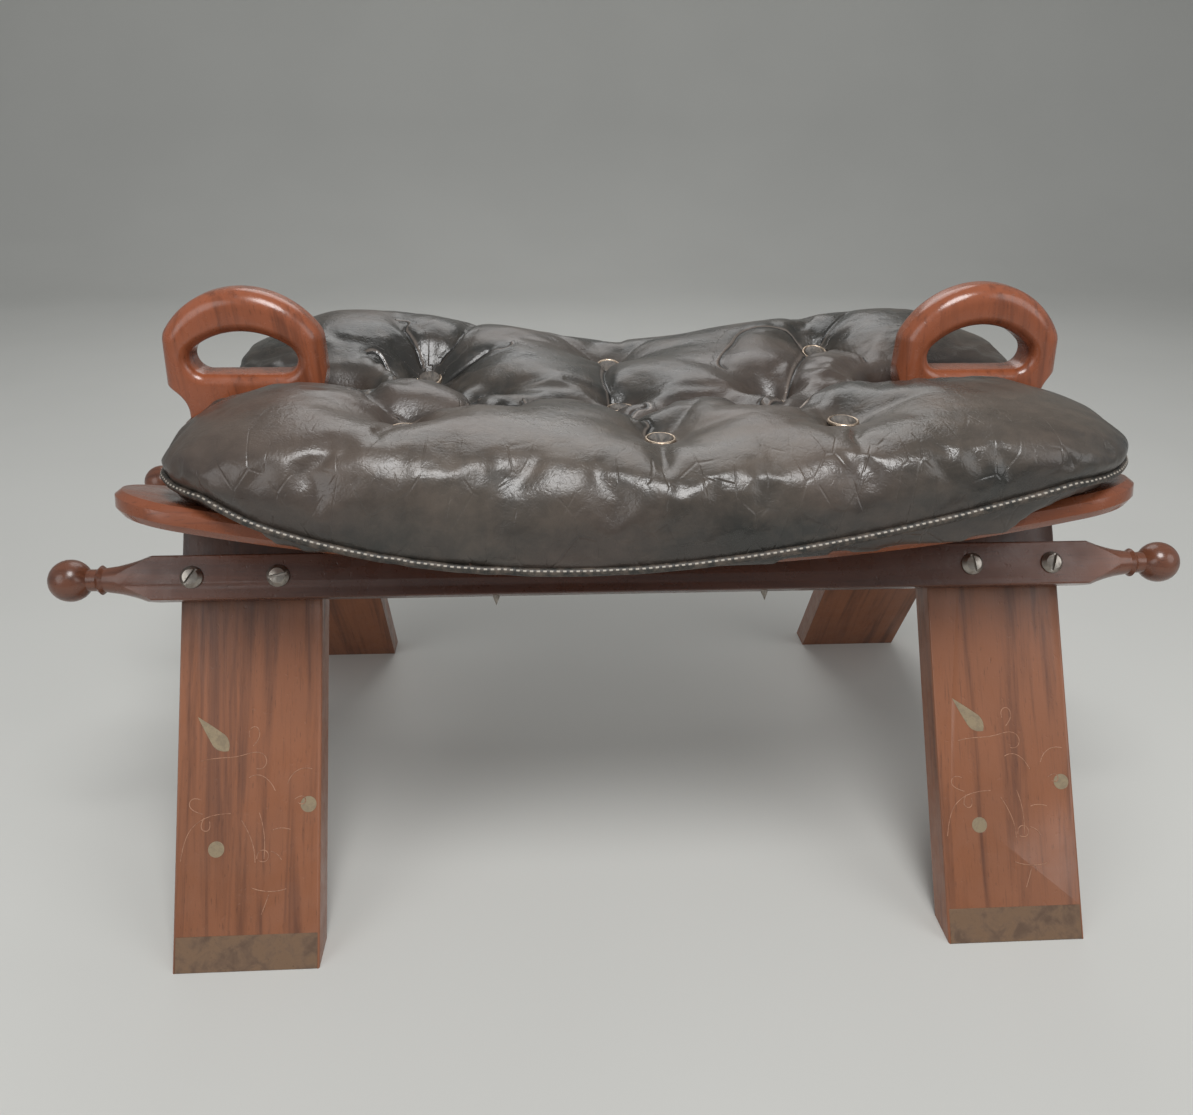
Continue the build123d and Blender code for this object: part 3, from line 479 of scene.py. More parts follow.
def studio_paper():
    """Pale, matt paper with a barely seen mottle."""
    made, tree, shader = start_material("studio_paper")
    place = add(tree, "ShaderNodeTexCoord").outputs["Object"]
    grain = noise(tree, place, 3.0, 2.0, 0.5)
    pale = colours().floor
    body = blend_colours(tree, spread(tree, grain, 0.3, 0.7), darker(pale, 0.97), opaque(pale))
    plug(tree, shader, Base_Color=body, Roughness=0.9, Specular_IOR_Level=0.2)
    return made


# Building helpers

def object_from(name, bm, material, body, nodes=(), smooth=True):
    """Turns a bmesh into a finished piece of the stool."""
    mesh = bpy.data.meshes.new(name)
    for face in bm.faces:
        face.smooth = smooth
    bm.to_mesh(mesh)
    bm.free()
    piece = bpy.data.objects.new(name, mesh)
    bpy.context.scene.collection.objects.link(piece)
    if material:
        mesh.materials.append(material)
    if body:
        settle(piece, body, nodes)
    return piece


def settle(piece, body, nodes=()):
    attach(piece, body)
    if nodes:
        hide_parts(*nodes)


def dress_copy(node, name, material, ease, body="frame", sharp=32.0, rounds=2):
    """A merged copy of a rigid CAD node with eased edges, which stands for it."""
    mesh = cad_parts[node].data.copy()
    bm = bmesh.new()
    bm.from_mesh(mesh)
    bmesh.ops.remove_doubles(bm, verts=bm.verts, dist=0.00001)
    bmesh.ops.dissolve_limit(bm, angle_limit=radians(0.6), verts=bm.verts, edges=bm.edges)
    bmesh.ops.recalc_face_normals(bm, faces=bm.faces)
    for edge in bm.edges:
        edge.smooth = len(edge.link_faces) == 2 and edge.calc_face_angle(0) < radians(sharp)
    mesh.materials.clear()
    piece = object_from(name, bm, material, body, (node,))
    if ease > 0:
        soften = piece.modifiers.new("eased_edges", "BEVEL")
        soften.width = ease
        soften.segments = rounds
        soften.limit_method = "ANGLE"
        soften.angle_limit = radians(38)
        soften.harden_normals = False
        soften.miter_outer = "MITER_ARC"
    return piece


def applied(piece):
    """Replaces a piece's mesh by what its modifiers make of it."""
    graph = bpy.context.evaluated_depsgraph_get()
    mesh = bpy.data.meshes.new_from_object(piece.evaluated_get(graph), depsgraph=graph)
    piece.modifiers.clear()
    old = piece.data
    piece.data = mesh
    bpy.data.meshes.remove(old)


def points_of(mesh):
    flat = np.zeros(len(mesh.vertices) * 3, np.float32)
    mesh.vertices.foreach_get("co", flat)
    return flat.reshape(-1, 3).astype(float)


def normals_of(mesh):
    flat = np.zeros(len(mesh.vertices) * 3, np.float32)
    mesh.vertices.foreach_get("normal", flat)
    return flat.reshape(-1, 3).astype(float)


def step(value, low, high):
    """Smooth step of numbers or arrays from 0 at low to 1 at high."""
    t = np.clip((value - low) / (high - low), 0, 1)
    return t * t * (3 - 2 * t)


def leg_point(x, up, out, rear):
    """A point on a leg's outer face, in metres: x, distance up the face, distance out of it."""
    y = -FOOT_Y + up * LEAN[0] - out * LEAN[1]
    z = up * LEAN[1] + out * LEAN[0]
    return Vector((-x, -y, z)) * MM if rear else Vector((x, y, z)) * MM


# Frame

class STOOL_OT_legs(Operator):
    """Dress the four leg planks in streaked rosewood"""
    bl_idname = "stool.legs"
    bl_label = "Legs"

    def execute(self, context):
        for place, lean in (("front", SPLAY), ("rear", -SPLAY)):
            for side, shift in (("left", (0.31, 0.07, 0.0)), ("right", (0.02, 0.0, 0.11))):
                # The legs darken towards their tops as painted shade under the seat.
                wood = rosewood(f"leg_rosewood_{place}_{side}", colours().leg_wood, colours().dark_grain,
                                turn=(radians(lean), 0, 0), shift=shift, streaks=0.62, gloss=0.36,
                                deepen=(0.165, 0.245))
                dress_copy(f"leg_{place}_{side}", f"leg_plank_{place}_{side}", wood,
                           sizes().edge_ease)
        return {"FINISHED"}


class STOOL_OT_handles(Operator):
    """Dress the two handle blocks in polished rosewood"""
    bl_idname = "stool.handles"
    bl_label = "Handles"

    def execute(self, context):
        for side, shift in (("left", (0.0, 0.0, 0.0)), ("right", (0.13, 0.05, 0.4))):
            wood = rosewood(f"handle_rosewood_{side}", colours().handle_wood, colours().dark_grain,
                            turn=(0, radians(6), 0), shift=shift, streaks=0.6, gloss=0.2)
            dress_copy(f"handle_{side}", f"handle_block_{side}", wood, sizes().edge_ease)
        return {"FINISHED"}


class STOOL_OT_rails(Operator):
    """Dress the two side rails with their turned ends"""
    bl_idname = "stool.rails"
    bl_label = "Side Rails"

    def execute(self, context):
        for place, shift in (("front", (0, 0, 0)), ("rear", (0.2, 0.3, 0.1))):
            # The rails darken towards their middles as painted shade under the cushion.
            wood = rosewood(f"rail_rosewood_{place}", colours().rail_wood, colours().dark_grain,
                            turn=(0, radians(90), 0), shift=shift, streaks=0.6, gloss=0.24, shaded_middle=(0.19, 0.29))
            dress_copy(f"side_rail_{place}", f"side_rail_bar_{place}", wood, sizes().edge_ease)
        return {"FINISHED"}


class STOOL_OT_slats(Operator):
    """Dress the two bowed seat slats"""
    bl_idname = "stool.slats"
    bl_label = "Seat Slats"

    def execute(self, context):
        for place, shift in (("front", (0, 0, 0)), ("rear", (0.4, 0.1, 0.2))):
            wood = rosewood(f"slat_rosewood_{place}", colours().slat_wood, colours().dark_grain,
                            turn=(0, radians(90), 0), shift=shift, streaks=0.5, gloss=0.2)
            dress_copy(f"seat_slat_{place}", f"seat_board_{place}", wood, sizes().slat_nose,
                       sharp=50.0, rounds=3)
        return {"FINISHED"}


class STOOL_OT_brass(Operator):
    """Dress the brass inlays and the foot bands"""
    bl_idname = "stool.brass"
    bl_label = "Brass"

    def execute(self, context):
        inlay = metal("inlay_brass", colours().brass, srgb(124, 110, 90), 0.45, 0.7, 1.4, 0.5)
        band = metal("tarnished_brass", colours().foot_brass, srgb(90, 70, 56), 0.5, 0.9, 0.6, 0.4)
        for place in ("front", "rear"):
            for side in ("left", "right"):
                end = f"{place}_{side}"
                dress_copy(f"leg_inlay_{end}", f"leaf_and_discs_{end}", inlay, 0.0001)
                dress_copy(f"foot_band_{end}", f"foot_strip_{end}", band, 0.0002)
        return {"FINISHED"}


VINES = (
    # Points (across, up) on a leg's face in mm. Each is one wire.
    ((-28, 118), (-20, 120), (-8, 119), (2, 123), (8, 122), (11, 117), (8, 112), (4, 113)),
    ((2, 126), (6, 130), (6, 136), (2, 138), (-1, 135), (0, 131)),
    ((-38, 62), (-36, 76), (-30, 84), (-20, 88), (-10, 88)),
    ((-26, 88), (-33, 90), (-35, 95), (-31, 98), (-27, 96)),
    ((-25, 86), (-28, 81), (-25, 77), (-21, 79), (-22, 84)),
    ((6, 88), (9, 80), (10, 71), (9, 62)),
    ((-4, 84), (1, 76), (4, 69), (4, 60)),
    ((5, 62), (5, 66), (9, 68), (13, 64), (10, 59), (6, 61)),
    ((13, 66), (17, 65), (19, 61)),
    ((22, 104), (24, 111), (30, 114), (36, 112)),
    ((26, 95), (30, 98), (34, 95), (31, 91), (28, 93)),
    ((0, 108), (6, 112), (12, 107), (15, 100)),
    ((2, 46), (9, 43), (17, 43), (22, 45)),
    ((12, 42), (10, 36), (8, 31)),
    ((14, 78), (18, 80), (24, 78)),
)


class STOOL_OT_vines(Operator):
    """Lay the thin brass vine wires into the faces of the legs"""
    bl_idname = "stool.vines"
    bl_label = "Vine Wires"

    def execute(self, context):
        wire = metal("vine_wire", srgb(176, 132, 106), srgb(126, 84, 62), 0.5, 0.8, 2.0, 0.25)
        for rear in (False, True):
            for side in (-1, 1):
                curve = bpy.data.curves.new("vine_line", "CURVE")
                curve.dimensions = "3D"
                curve.resolution_u = 5
                curve.bevel_depth = sizes().wire_radius
                curve.bevel_resolution = 1
                for line in VINES:
                    spline = curve.splines.new("NURBS")
                    spline.points.add(len(line) - 1)
                    for point, (across, up) in zip(spline.points, line):
                        point.co = (*leg_point(side * LEG_X + across, up, -0.08, rear), 1.0)
                    spline.order_u = 4
                    spline.use_endpoint_u = True
                holder = bpy.data.objects.new("vine_line", curve)
                bpy.context.scene.collection.objects.link(holder)
                graph = bpy.context.evaluated_depsgraph_get()
                mesh = bpy.data.meshes.new_from_object(holder.evaluated_get(graph), depsgraph=graph)
                bpy.data.objects.remove(holder)
                where = "rear" if rear else "front"
                hand = "right" if (side > 0) != rear else "left"
                bm = bmesh.new()
                bm.from_mesh(mesh)
                bmesh.ops.recalc_face_normals(bm, faces=bm.faces)
                object_from(f"vine_wires_{where}_{hand}", bm, wire, "frame")
        return {"FINISHED"}


class STOOL_OT_fasteners(Operator):
    """Dress the slotted screws and the dowels"""
    bl_idname = "stool.fasteners"
    bl_label = "Screws and Dowels"

    def execute(self, context):
        steel = metal("screw_steel", colours().steel, srgb(96, 84, 72), 0.34, 0.45, 1.2)
        for place in ("front", "rear"):
            dress_copy(f"rail_screws_{place}", f"round_head_screws_{place}", steel, 0.00025,
                       sharp=26.0)
            dress_copy(f"slat_screws_{place}", f"slat_fixings_{place}", steel, 0.0)
        peg = rosewood("peg_wood", srgb(150, 110, 72), srgb(96, 66, 42), turn=(radians(90), 0, 0),
                       streaks=0.3)
        for side in ("left", "right"):
            dress_copy(f"joint_dowels_{side}", f"pegs_{side}", peg, 0.0004)
        return {"FINISHED"}


# Cushion

def crest(u, middle, peak, end):
    q = np.minimum(np.abs(u) / CUSHION_HALF, 1.0)
    rise = middle + (peak - middle) * (1 - np.cos(pi * q / CROWN_PEAK)) / 2
    fall = np.clip((q - CROWN_PEAK) / (1 - CROWN_PEAK), 0, 1)
    return np.where(q < CROWN_PEAK, rise, end + (peak - end) * np.sqrt(1 - fall ** 2))


def half_depth(u):
    q = np.minimum(np.abs(u) / CUSHION_HALF, 1.0)
    fall = np.clip((q - CROWN_PEAK) / (1 - CROWN_PEAK), 0, 1)
    waist = CUSHION_DEPTH - 6.0
    return np.where(q < CROWN_PEAK, CUSHION_DEPTH - 6.0 * (q / CROWN_PEAK) ** 2,
                    CORNER_DEPTH + (waist - CORNER_DEPTH) * np.sqrt(1 - fall ** 2))


def slat_middle(x, tilt):
    """Middle (y, z) of a slat's upper face at x; y is positive outwards."""
    t = radians(tilt)
    arris_y = FOOT_Y - RAIL_HIGH * LEAN[0] + RAIL_THICK * LEAN[1]
    arris_z = RAIL_HIGH * LEAN[1] + RAIL_THICK * LEAN[0]
    out = SLAT_WIDTH / 2 - (RAIL_THICK - SLAT_GAP) / cos(radians(SPLAY - tilt))
    rise = SLAT_THICK - SEAT_CUT + SLAT_BOW * (2 * x / SLAT_LENGTH) ** 2
    return arris_y + out * cos(t) - rise * sin(t), arris_z + out * sin(t) + rise * cos(t)


def slat_top(x, y, tilt):
    middle_y, middle_z = slat_middle(x, tilt)
    return middle_z + (y - middle_y) * tan(radians(tilt))


def slat_edge(x, tilt):
    radius = SLAT_WIDTH / 2
    into_end = np.clip(np.abs(x) - (SLAT_LENGTH / 2 - radius), 0, radius)
    return slat_middle(x, tilt)[0] + np.sqrt(radius ** 2 - into_end ** 2) * cos(radians(tilt))


def seam_height(u, row):
    """Height of the front (row 0) or rear (row 1) seam."""
    q = u / CUSHION_HALF
    if row:
        return REAR_SEAM[0] + (REAR_SEAM[1] - REAR_SEAM[0]) * q ** 2 + REAR_LEAN * q * (1 - q ** 2)
    rises = [factor * np.minimum(np.abs(q - SEAM_LOW_AT), reach) ** power
             for factor, power, reach in (SEAM_LEFT, SEAM_RIGHT)]
    return SEAM_LOW + np.where(q < SEAM_LOW_AT, *rises)


def under_edge(u, row):
    """Where the underside leaves the front or rear slat: distance from the middle and height."""
    x, deep = CUSHION_SHIFT + u, half_depth(u)
    edge = slat_edge(x, SLAT_TILT[row])
    reach = np.where(deep > edge + WRAP_ROOM, edge + EDGE_WRAP, np.minimum(edge, deep - 8.0))
    return reach, slat_top(x, reach, SLAT_TILT[row]) + SEAT_PLAY


def seam_at(u, y):
    """Height of the seam surface, from the front seam over both slat edges to the rear seam."""
    u, y = np.asarray(u, float), np.asarray(y, float)
    deep = half_depth(u)
    ends = [seam_height(u, row) for row in (0, 1)]
    lids = []
    for row, side in ((0, -1), (1, 1)):
        leave, height = under_edge(u, row)
        straight = (ends[0] + ends[1]) / 2 + (ends[1] - ends[0]) / 2 * side * leave / deep
        lids.append((leave, np.maximum(height + PANEL_EDGE, straight)))
    (front, low), (rear, high) = lids
    inner = low + (high - low) * (y + front) / (front + rear)
    before = ends[0] + (low - ends[0]) * np.clip((y + deep) / (deep - front), 0, 1)
    behind = ends[1] + (high - ends[1]) * np.clip((deep - y) / (deep - rear), 0, 1)
    return np.where(y < -front, before, np.where(y > rear, behind, inner))


def over_seam(xyz):
    return xyz[:, 2] - seam_at(xyz[:, 0] - CUSHION_SHIFT, xyz[:, 1])


def flowing(points, each):
    """Points along a smooth curve through the given ones."""
    line = [np.array(p, float) for p in points]
    line = [2 * line[0] - line[1]] + line + [2 * line[-1] - line[-2]]
    found = []
    for a, b, c, d in zip(line, line[1:], line[2:], line[3:]):
        for k in range(each):
            t = k / each
            found.append(0.5 * ((2 * b) + (c - a) * t + (2 * a - 5 * b + 4 * c - d) * t * t
                                + (3 * b - a - 3 * c + d) * t ** 3))
    found.append(line[-2])
    return found


def section(u, shrink=0.0):
    """Cross-section of the unpressed cushion as (y, z) points, shrunk a little for the swelling."""
    x = CUSHION_SHIFT + u
    deep = half_depth(u)
    seam = [seam_height(u, row) for row in (0, 1)]
    ends = (seam[0] + END_THICK, (seam[0] + seam[1]) / 2 + END_THICK - 4, seam[1] + END_THICK)
    front, centre, rear = [crest(u, a, b, c) for a, b, c in zip(MIDDLE_TOP, PEAK_TOP, ends)]
    top, under = [], []
    for row, (side, peak) in enumerate(((-1, front), (1, rear))):
        rise = peak - seam[row]
        top.append([
            (side * deep, seam[row]), (side * (deep + BULGE - shrink), seam[row] + rise * 0.36),
            (side * (deep + 1.0 - shrink), seam[row] + rise * 0.74),
            (side * deep * 0.86, peak - rise * 0.06 - shrink), (side * deep * 0.66, peak - shrink),
            (side * deep * 0.34, centre + (peak - centre) * 0.45 - shrink)])
        leave, height = under_edge(u, row)
        under.append([(side * leave, height),
                      (side * BELLY_Y, slat_top(x, BELLY_Y, SLAT_TILT[row]) + SEAT_PLAY)])
    crown = flowing(top[0] + [(0, centre - shrink)] + top[1][::-1], 8)
    leave, height = -under[0][0][0], under[0][0][1]
    # The flap hides the front slat, partly as the real under panel and partly as a dark sheet in place of the
    # front roll's shade.
    drop = FLAP_DROP * (1 - step(abs(x), *FLAP_ENDS)) + 0.5
    low = [under[1][0], under[1][1], under[0][1], under[0][0], (-leave - 0.4, height - drop),
           (-(leave + deep) / 2, height - drop - 1.5)]
    base = [np.array(crown[-1])]
    for a, b in zip([crown[-1]] + low, low + [crown[0]]):
        base += [np.array(a) + (np.array(b) - np.array(a)) * k / 6 for k in range(1, 7)]
    return crown + base[1:-1]


def skin(rings):
    """A closed bmesh over rings of points, with a face at each end."""
    bm = bmesh.new()
    rows = [[bm.verts.new(Vector(p) * MM) for p in ring] for ring in rings]
    for first, second in zip(rows, rows[1:]):
        for k in range(len(first)):
            n = (k + 1) % len(first)
            bm.faces.new((first[k], first[n], second[n], second[k]))
    bm.faces.new(rows[0][::-1])
    bm.faces.new(rows[-1])
    bmesh.ops.recalc_face_normals(bm, faces=bm.faces)
    return bm


def cushion_blank():
    spots = [0.985 * sin(radians(90) * k / 30) for k in range(-30, 31)]
    rings = []
    for q in spots:
        u = q * CUSHION_HALF
        rings.append([(CUSHION_SHIFT + u, y, z) for y, z in section(u, 2.5)])
    for end, at in ((0, -1), (-1, 1)):
        ring = np.array(rings[end])
        middle = ring.mean(axis=0)
        cap = middle + (ring - middle) * (1, 0.97, 0.6) + (at * 3.5, 0, 0)
        rings = [cap.tolist()] + rings if end == 0 else rings + [cap.tolist()]
    return skin(rings)


def notch_cutter(side):
    """Slot for a handle, open to the cushion's end and flared at the top."""
    levels = [(180, NOTCH_HALF), (NOTCH_LOW, NOTCH_HALF)]
    for k in range(1, 9):
        a = radians(90) * k / 8
        levels.append((NOTCH_LOW + NOTCH_FLARE * sin(a), NOTCH_HALF + NOTCH_FLARE * (1 - cos(a))))
    levels.append((420, NOTCH_HALF + NOTCH_FLARE))
    rings = []
    for z, r in levels:
        ring = [(side * 400, -r, z)]
        for k in range(25):
            a = radians(-90 - 180 * k / 24)
            ring.append((side * (NOTCH_END + r * cos(a)), r * sin(a), z))
        rings.append(ring + [(side * 400, r, z)])
    return skin(rings)


def room_cutter(side):
    """Room for the leg tops under the cushion."""
    slope = LEAN[0] / LEAN[1]
    rings = []
    for x in (LEG_X - LEG_WIDTH / 2 - 1.2, 330):
        low, high = FOOT_Y - 190 * slope + 1.4, FOOT_Y - LEG_TOP * slope + 1.2
        rings.append([(side * x, -low, 190), (side * x, low, 190), (side * x, high, LEG_TOP + 1.2),
                      (side * x, -high, LEG_TOP + 1.2)])
    return skin(rings)


def notch_distance(xyz):
    """Distance in mm from the nearer notch's wall."""
    up = np.clip((xyz[:, 2] - NOTCH_LOW) / NOTCH_FLARE, 0, 1)
    r = NOTCH_HALF + NOTCH_FLARE * (1 - np.sqrt(1 - up ** 2))
    over = np.maximum(NOTCH_END - np.abs(xyz[:, 0]), 0)
    return np.hypot(over, xyz[:, 1]) - r


def nearest_on(line, xy):
    """Distance, side and place along the line of the nearest point for each of xy."""
    best = np.full(len(xy), 1e9)
    sign = np.zeros(len(xy))
    place = np.zeros(len(xy))
    for k, (a, b) in enumerate(zip(line, line[1:])):
        d = b - a
        t = np.clip(((xy - a) @ d) / (d @ d), 0, 1)
        gap = xy - (a + t[:, None] * d)
        dist = np.hypot(gap[:, 0], gap[:, 1])
        near = dist < best
        best[near] = dist[near]
        sign[near] = np.sign(d[0] * gap[:, 1] - d[1] * gap[:, 0])[near]
        place[near] = ((k + t) / (len(line) - 1))[near]
    return best, sign, place


def fold_lines():
    """Every arch and crease as a smooth line with its depth, lip and whether it is an arch."""
    found = []
    for table, arch in ((ARCHES, True), (CREASES, False)):
        for points, depth, lip in table:
            found.append((np.array(flowing(points, 7)), depth, lip, arch))
    return found


def puckers():
    """Faint short creases round the open buttons."""
    rng = np.random.default_rng(11)
    found = []
    for x, y in ((-127, 60), (-3, 84), (145, 86), (15, -82), (118, -84)):
        start = rng.uniform(0, 2 * pi)
        for k in range(9):
            a = start + 2 * pi * (k + rng.uniform(-0.3, 0.3)) / 9
            reach = rng.uniform(20, 34)
            found.append((np.array([(x + r * cos(a), y + r * sin(a)) for r in (10, reach * 0.6, reach)]),
                          rng.uniform(0.5, 1.1)))
    return found


def swell(piece, held):
    """Lets the stuffing press the leather out between the held points, for no further than the cap."""
    mesh = piece.data
    before = points_of(mesh)
    group = piece.vertex_groups.new(name="held")
    for weight in (1.0, FOLD_HOLD):
        chosen = [int(i) for i in np.nonzero(held == weight)[0]]
        group.add(chosen, weight, "REPLACE")
    cloth = piece.modifiers.new("stuffing_pressure", "CLOTH")
    settings = cloth.settings
    settings.quality = 5
    settings.mass = 0.25
    settings.use_pressure = True
    settings.uniform_pressure_force = 4.0
    settings.tension_stiffness = 18
    settings.compression_stiffness = 6
    settings.shear_stiffness = 5
    settings.bending_stiffness = 0.4
    settings.shrink_min = -0.035
    settings.vertex_group_mass = "held"
    settings.effector_weights.gravity = 0
    cloth.collision_settings.use_collision = False
    cloth.point_cache.frame_start = 1
    cloth.point_cache.frame_end = SWELL_FRAMES
    scene = bpy.context.scene
    for now in range(1, SWELL_FRAMES + 1):
        scene.frame_set(now)
    applied(piece)
    scene.frame_set(1)
    after = points_of(piece.data)
    moved = after - before
    reach = np.linalg.norm(moved, axis=1)
    cap = sizes().swell_cap
    share = np.where(reach > 1e-9, cap * np.tanh(reach / cap) / np.maximum(reach, 1e-9), 1.0)
    piece.data.vertices.foreach_set("co", (before + moved * share[:, None]).astype(np.float32).ravel())
    piece.data.update()
    piece.vertex_groups.clear()


def draw_in_tufts(xyz, facing):
    """Moves the top's points down at the buttons and up between them; mm, in place."""
    above = step(facing, 0.15, 0.6) * step(notch_distance(xyz), 1.0, 16.0) * step(over_seam(xyz), 8.0, 22.0)
    spots = [spot for group in TUFTS for spot in group]
    near = np.full(len(xyz), 1e9)
    flat = xyz[:, :2]
    for x, y, _ in spots:
        near = np.minimum(near, np.maximum(np.hypot(flat[:, 0] - x, flat[:, 1] - y) - 4.0, 0))
    for line, depth, _, arch in fold_lines():
        far, side, _ = nearest_on(line, flat)
        ease = np.where(side < 0, 9.0, 0.0) if arch else (1 - min(depth, 5.0) / 5.0) * 30.0
        near = np.minimum(near, far + ease)
    rise = sizes().pillow_rise / MM
    from_edge = np.where(flat[:, 1] < 0, (150.0 + flat[:, 1]) / 105.0, (150.0 - flat[:, 1]) / 55.0)
    inside = step(from_edge, 0.0, 1.0) * step(250.0 - np.abs(flat[:, 0] - CUSHION_SHIFT), 0, 50)
    xyz[:, 2] += above * inside * rise * (1 - np.exp(-near / 15.0))
    for (x, y), (wide, long), deep in BASINS:
        xyz[:, 2] -= above * deep * np.exp(-((flat[:, 0] - x) / wide) ** 2 - ((flat[:, 1] - y) / long) ** 2)
    return above


def seat_tufts(xyz, above):
    """Draws each button's place down to the height at which its button sits."""
    leather_top = xyz[above > 0.5]
    for group in TUFTS:
        for x, y, z in group:
            apart = np.hypot(xyz[:, 0] - x, xyz[:, 1] - y)
            local = np.hypot(leather_top[:, 0] - x, leather_top[:, 1] - y)
            ring = leather_top[local < 6.0]
            if not len(ring):
                raise RuntimeError("a tuft has no leather over it")
            drop = ring[:, 2].mean() - z + TUFT_SINK
            ease = np.where(xyz[:, 1] < y, 15.0, 11.0)
            fall = np.where(apart < TUFT_FLAT, 1.0, np.exp(-np.maximum(apart - TUFT_FLAT, 0) / ease))
            xyz[:, 2] -= above * drop * fall
    return xyz


def held_points(xyz, above):
    """How firmly each point is held while the stuffing swells: at buttons, seam, slots and deep folds."""
    held = np.zeros(len(xyz))
    spots = np.array([spot[:2] for group in TUFTS for spot in group], float)
    apart = np.min(np.hypot(xyz[:, 0, None] - spots[:, 0], xyz[:, 1, None] - spots[:, 1]), axis=1)
    held[(apart < BUTTON_RADIUS) & (above > 0.3)] = 1.0
    held[over_seam(xyz) < 5.0] = 1.0
    held[notch_distance(xyz) < 5.0] = 1.0
    for line, depth, _, arch in fold_lines():
        far, side, _ = nearest_on(line, xyz[:, :2])
        reach = np.where(side < 0, 2.5, 9.0) if arch else 3.0
        held[(far < reach) & (above > 0.3) & (held == 0) & (depth > DEEP_FOLD)] = FOLD_HOLD
    return held


def arch_profile(far, side, ends, depth, lip):
    """Drop behind an arch of the front roll and the lip in front of it."""
    behind = depth * (0.6 + 0.4 * ends) * np.exp(-(far / 15.0) ** 1.3)
    before = depth * (0.1 + 0.5 * ends) * np.exp(-far / 3.0)
    rise = np.where(side < 0, lip * (1 - 0.6 * ends) * np.exp(-((far - 3.0) / 4.5) ** 2), 0.0)
    return rise - np.where(side > 0, behind, before)


def crease_profile(far, side, place, ends, depth, lip):
    """Groove of a crease and the low lip on one side of it, fading to its end."""
    fade = (0.55 + 0.45 * ends) * step(1 - place, 0.0, 0.25)
    dent = depth * fade * np.exp(-(far / 2.8) ** 1.2)
    return lip * fade * np.exp(-((far - 4.2) / 2.4) ** 2) * (side < 0) - dent


def fold_leather(xyz, facing, seam_gap):
    """Presses arches, creases and puckers into the points, in place. Returns what the leather's look reads:
    fold distances for the painted groove shade and lip highlight, wear with painted shade low on the front
    roll, and the lip highlight's strength.
    """
    above = step(facing, 0.1, 0.5) * step(notch_distance(xyz), 0.5, 5.0) * step(seam_gap, 6.0, 16.0)
    fold = np.full(len(xyz), NO_FOLD)
    rubbed = np.zeros(len(xyz))
    shift = np.zeros(len(xyz))
    deepen = sizes().fold_depth
    for line, depth, lip, arch in fold_lines():
        far, side, place = nearest_on(line, xyz[:, :2])
        ends = np.abs(2 * place - 1) ** 1.6
        if arch:
            shift += deepen * arch_profile(far, side, ends, depth, lip)
        else:
            shift += deepen * crease_profile(far, side, place, ends, depth, lip)
        if depth > SHOWN_FOLD:
            signed = far * np.where(side < 0, -1, 1) + 6.0 * step(place, 0.75, 1.0) * (not arch)
            nearer = (np.abs(signed) < np.abs(fold)) & (far < 12)
            fold[nearer] = signed[nearer]
            # Strength of the painted highlight on this fold's lip.
            rubbed[nearer] = 0.62 * (lip > HIGHLIT_LIP) * (1 - ends[nearer] ** 3)
    for line, depth in puckers():
        far, _, place = nearest_on(line, xyz[:, :2])
        shift -= depth * deepen * (1 - place) * np.exp(-(far / 2.0) ** 2)
    ruffle = np.sin(np.arctan2(xyz[:, 1], NOTCH_END - np.abs(xyz[:, 0])) * 20.0)
    close = notch_distance(xyz)
    shift += 0.7 * ruffle * np.exp(-np.abs(close - 8) / 9) * step(facing, 0.1, 0.6)
    xyz[:, 2] += above * np.maximum(shift, -DEEPEST_FOLD)
    fold = np.where(above > 0.4, fold, NO_FOLD)
    # Wear lightens the front roll's top; the step on the seam gap keeps the roll's underside dark as painted
    # shade.
    front_wear_and_low_shade = step(-xyz[:, 1], 40, 110) * step(seam_gap, 10, 40) * 0.6
    ridge = step(facing, 0.5, 0.95) * step(np.abs(fold), 4, 14) * 0.25
    worn = np.clip(front_wear_and_low_shade + ridge + 0.15 * step(xyz[:, 0], 60, 240), 0, 1)
    return {"fold": fold, "worn": worn, "rubbed": rubbed}


def set_points(mesh, xyz):
    mesh.vertices.foreach_set("co", (xyz * MM).astype(np.float32).ravel())
    mesh.update()


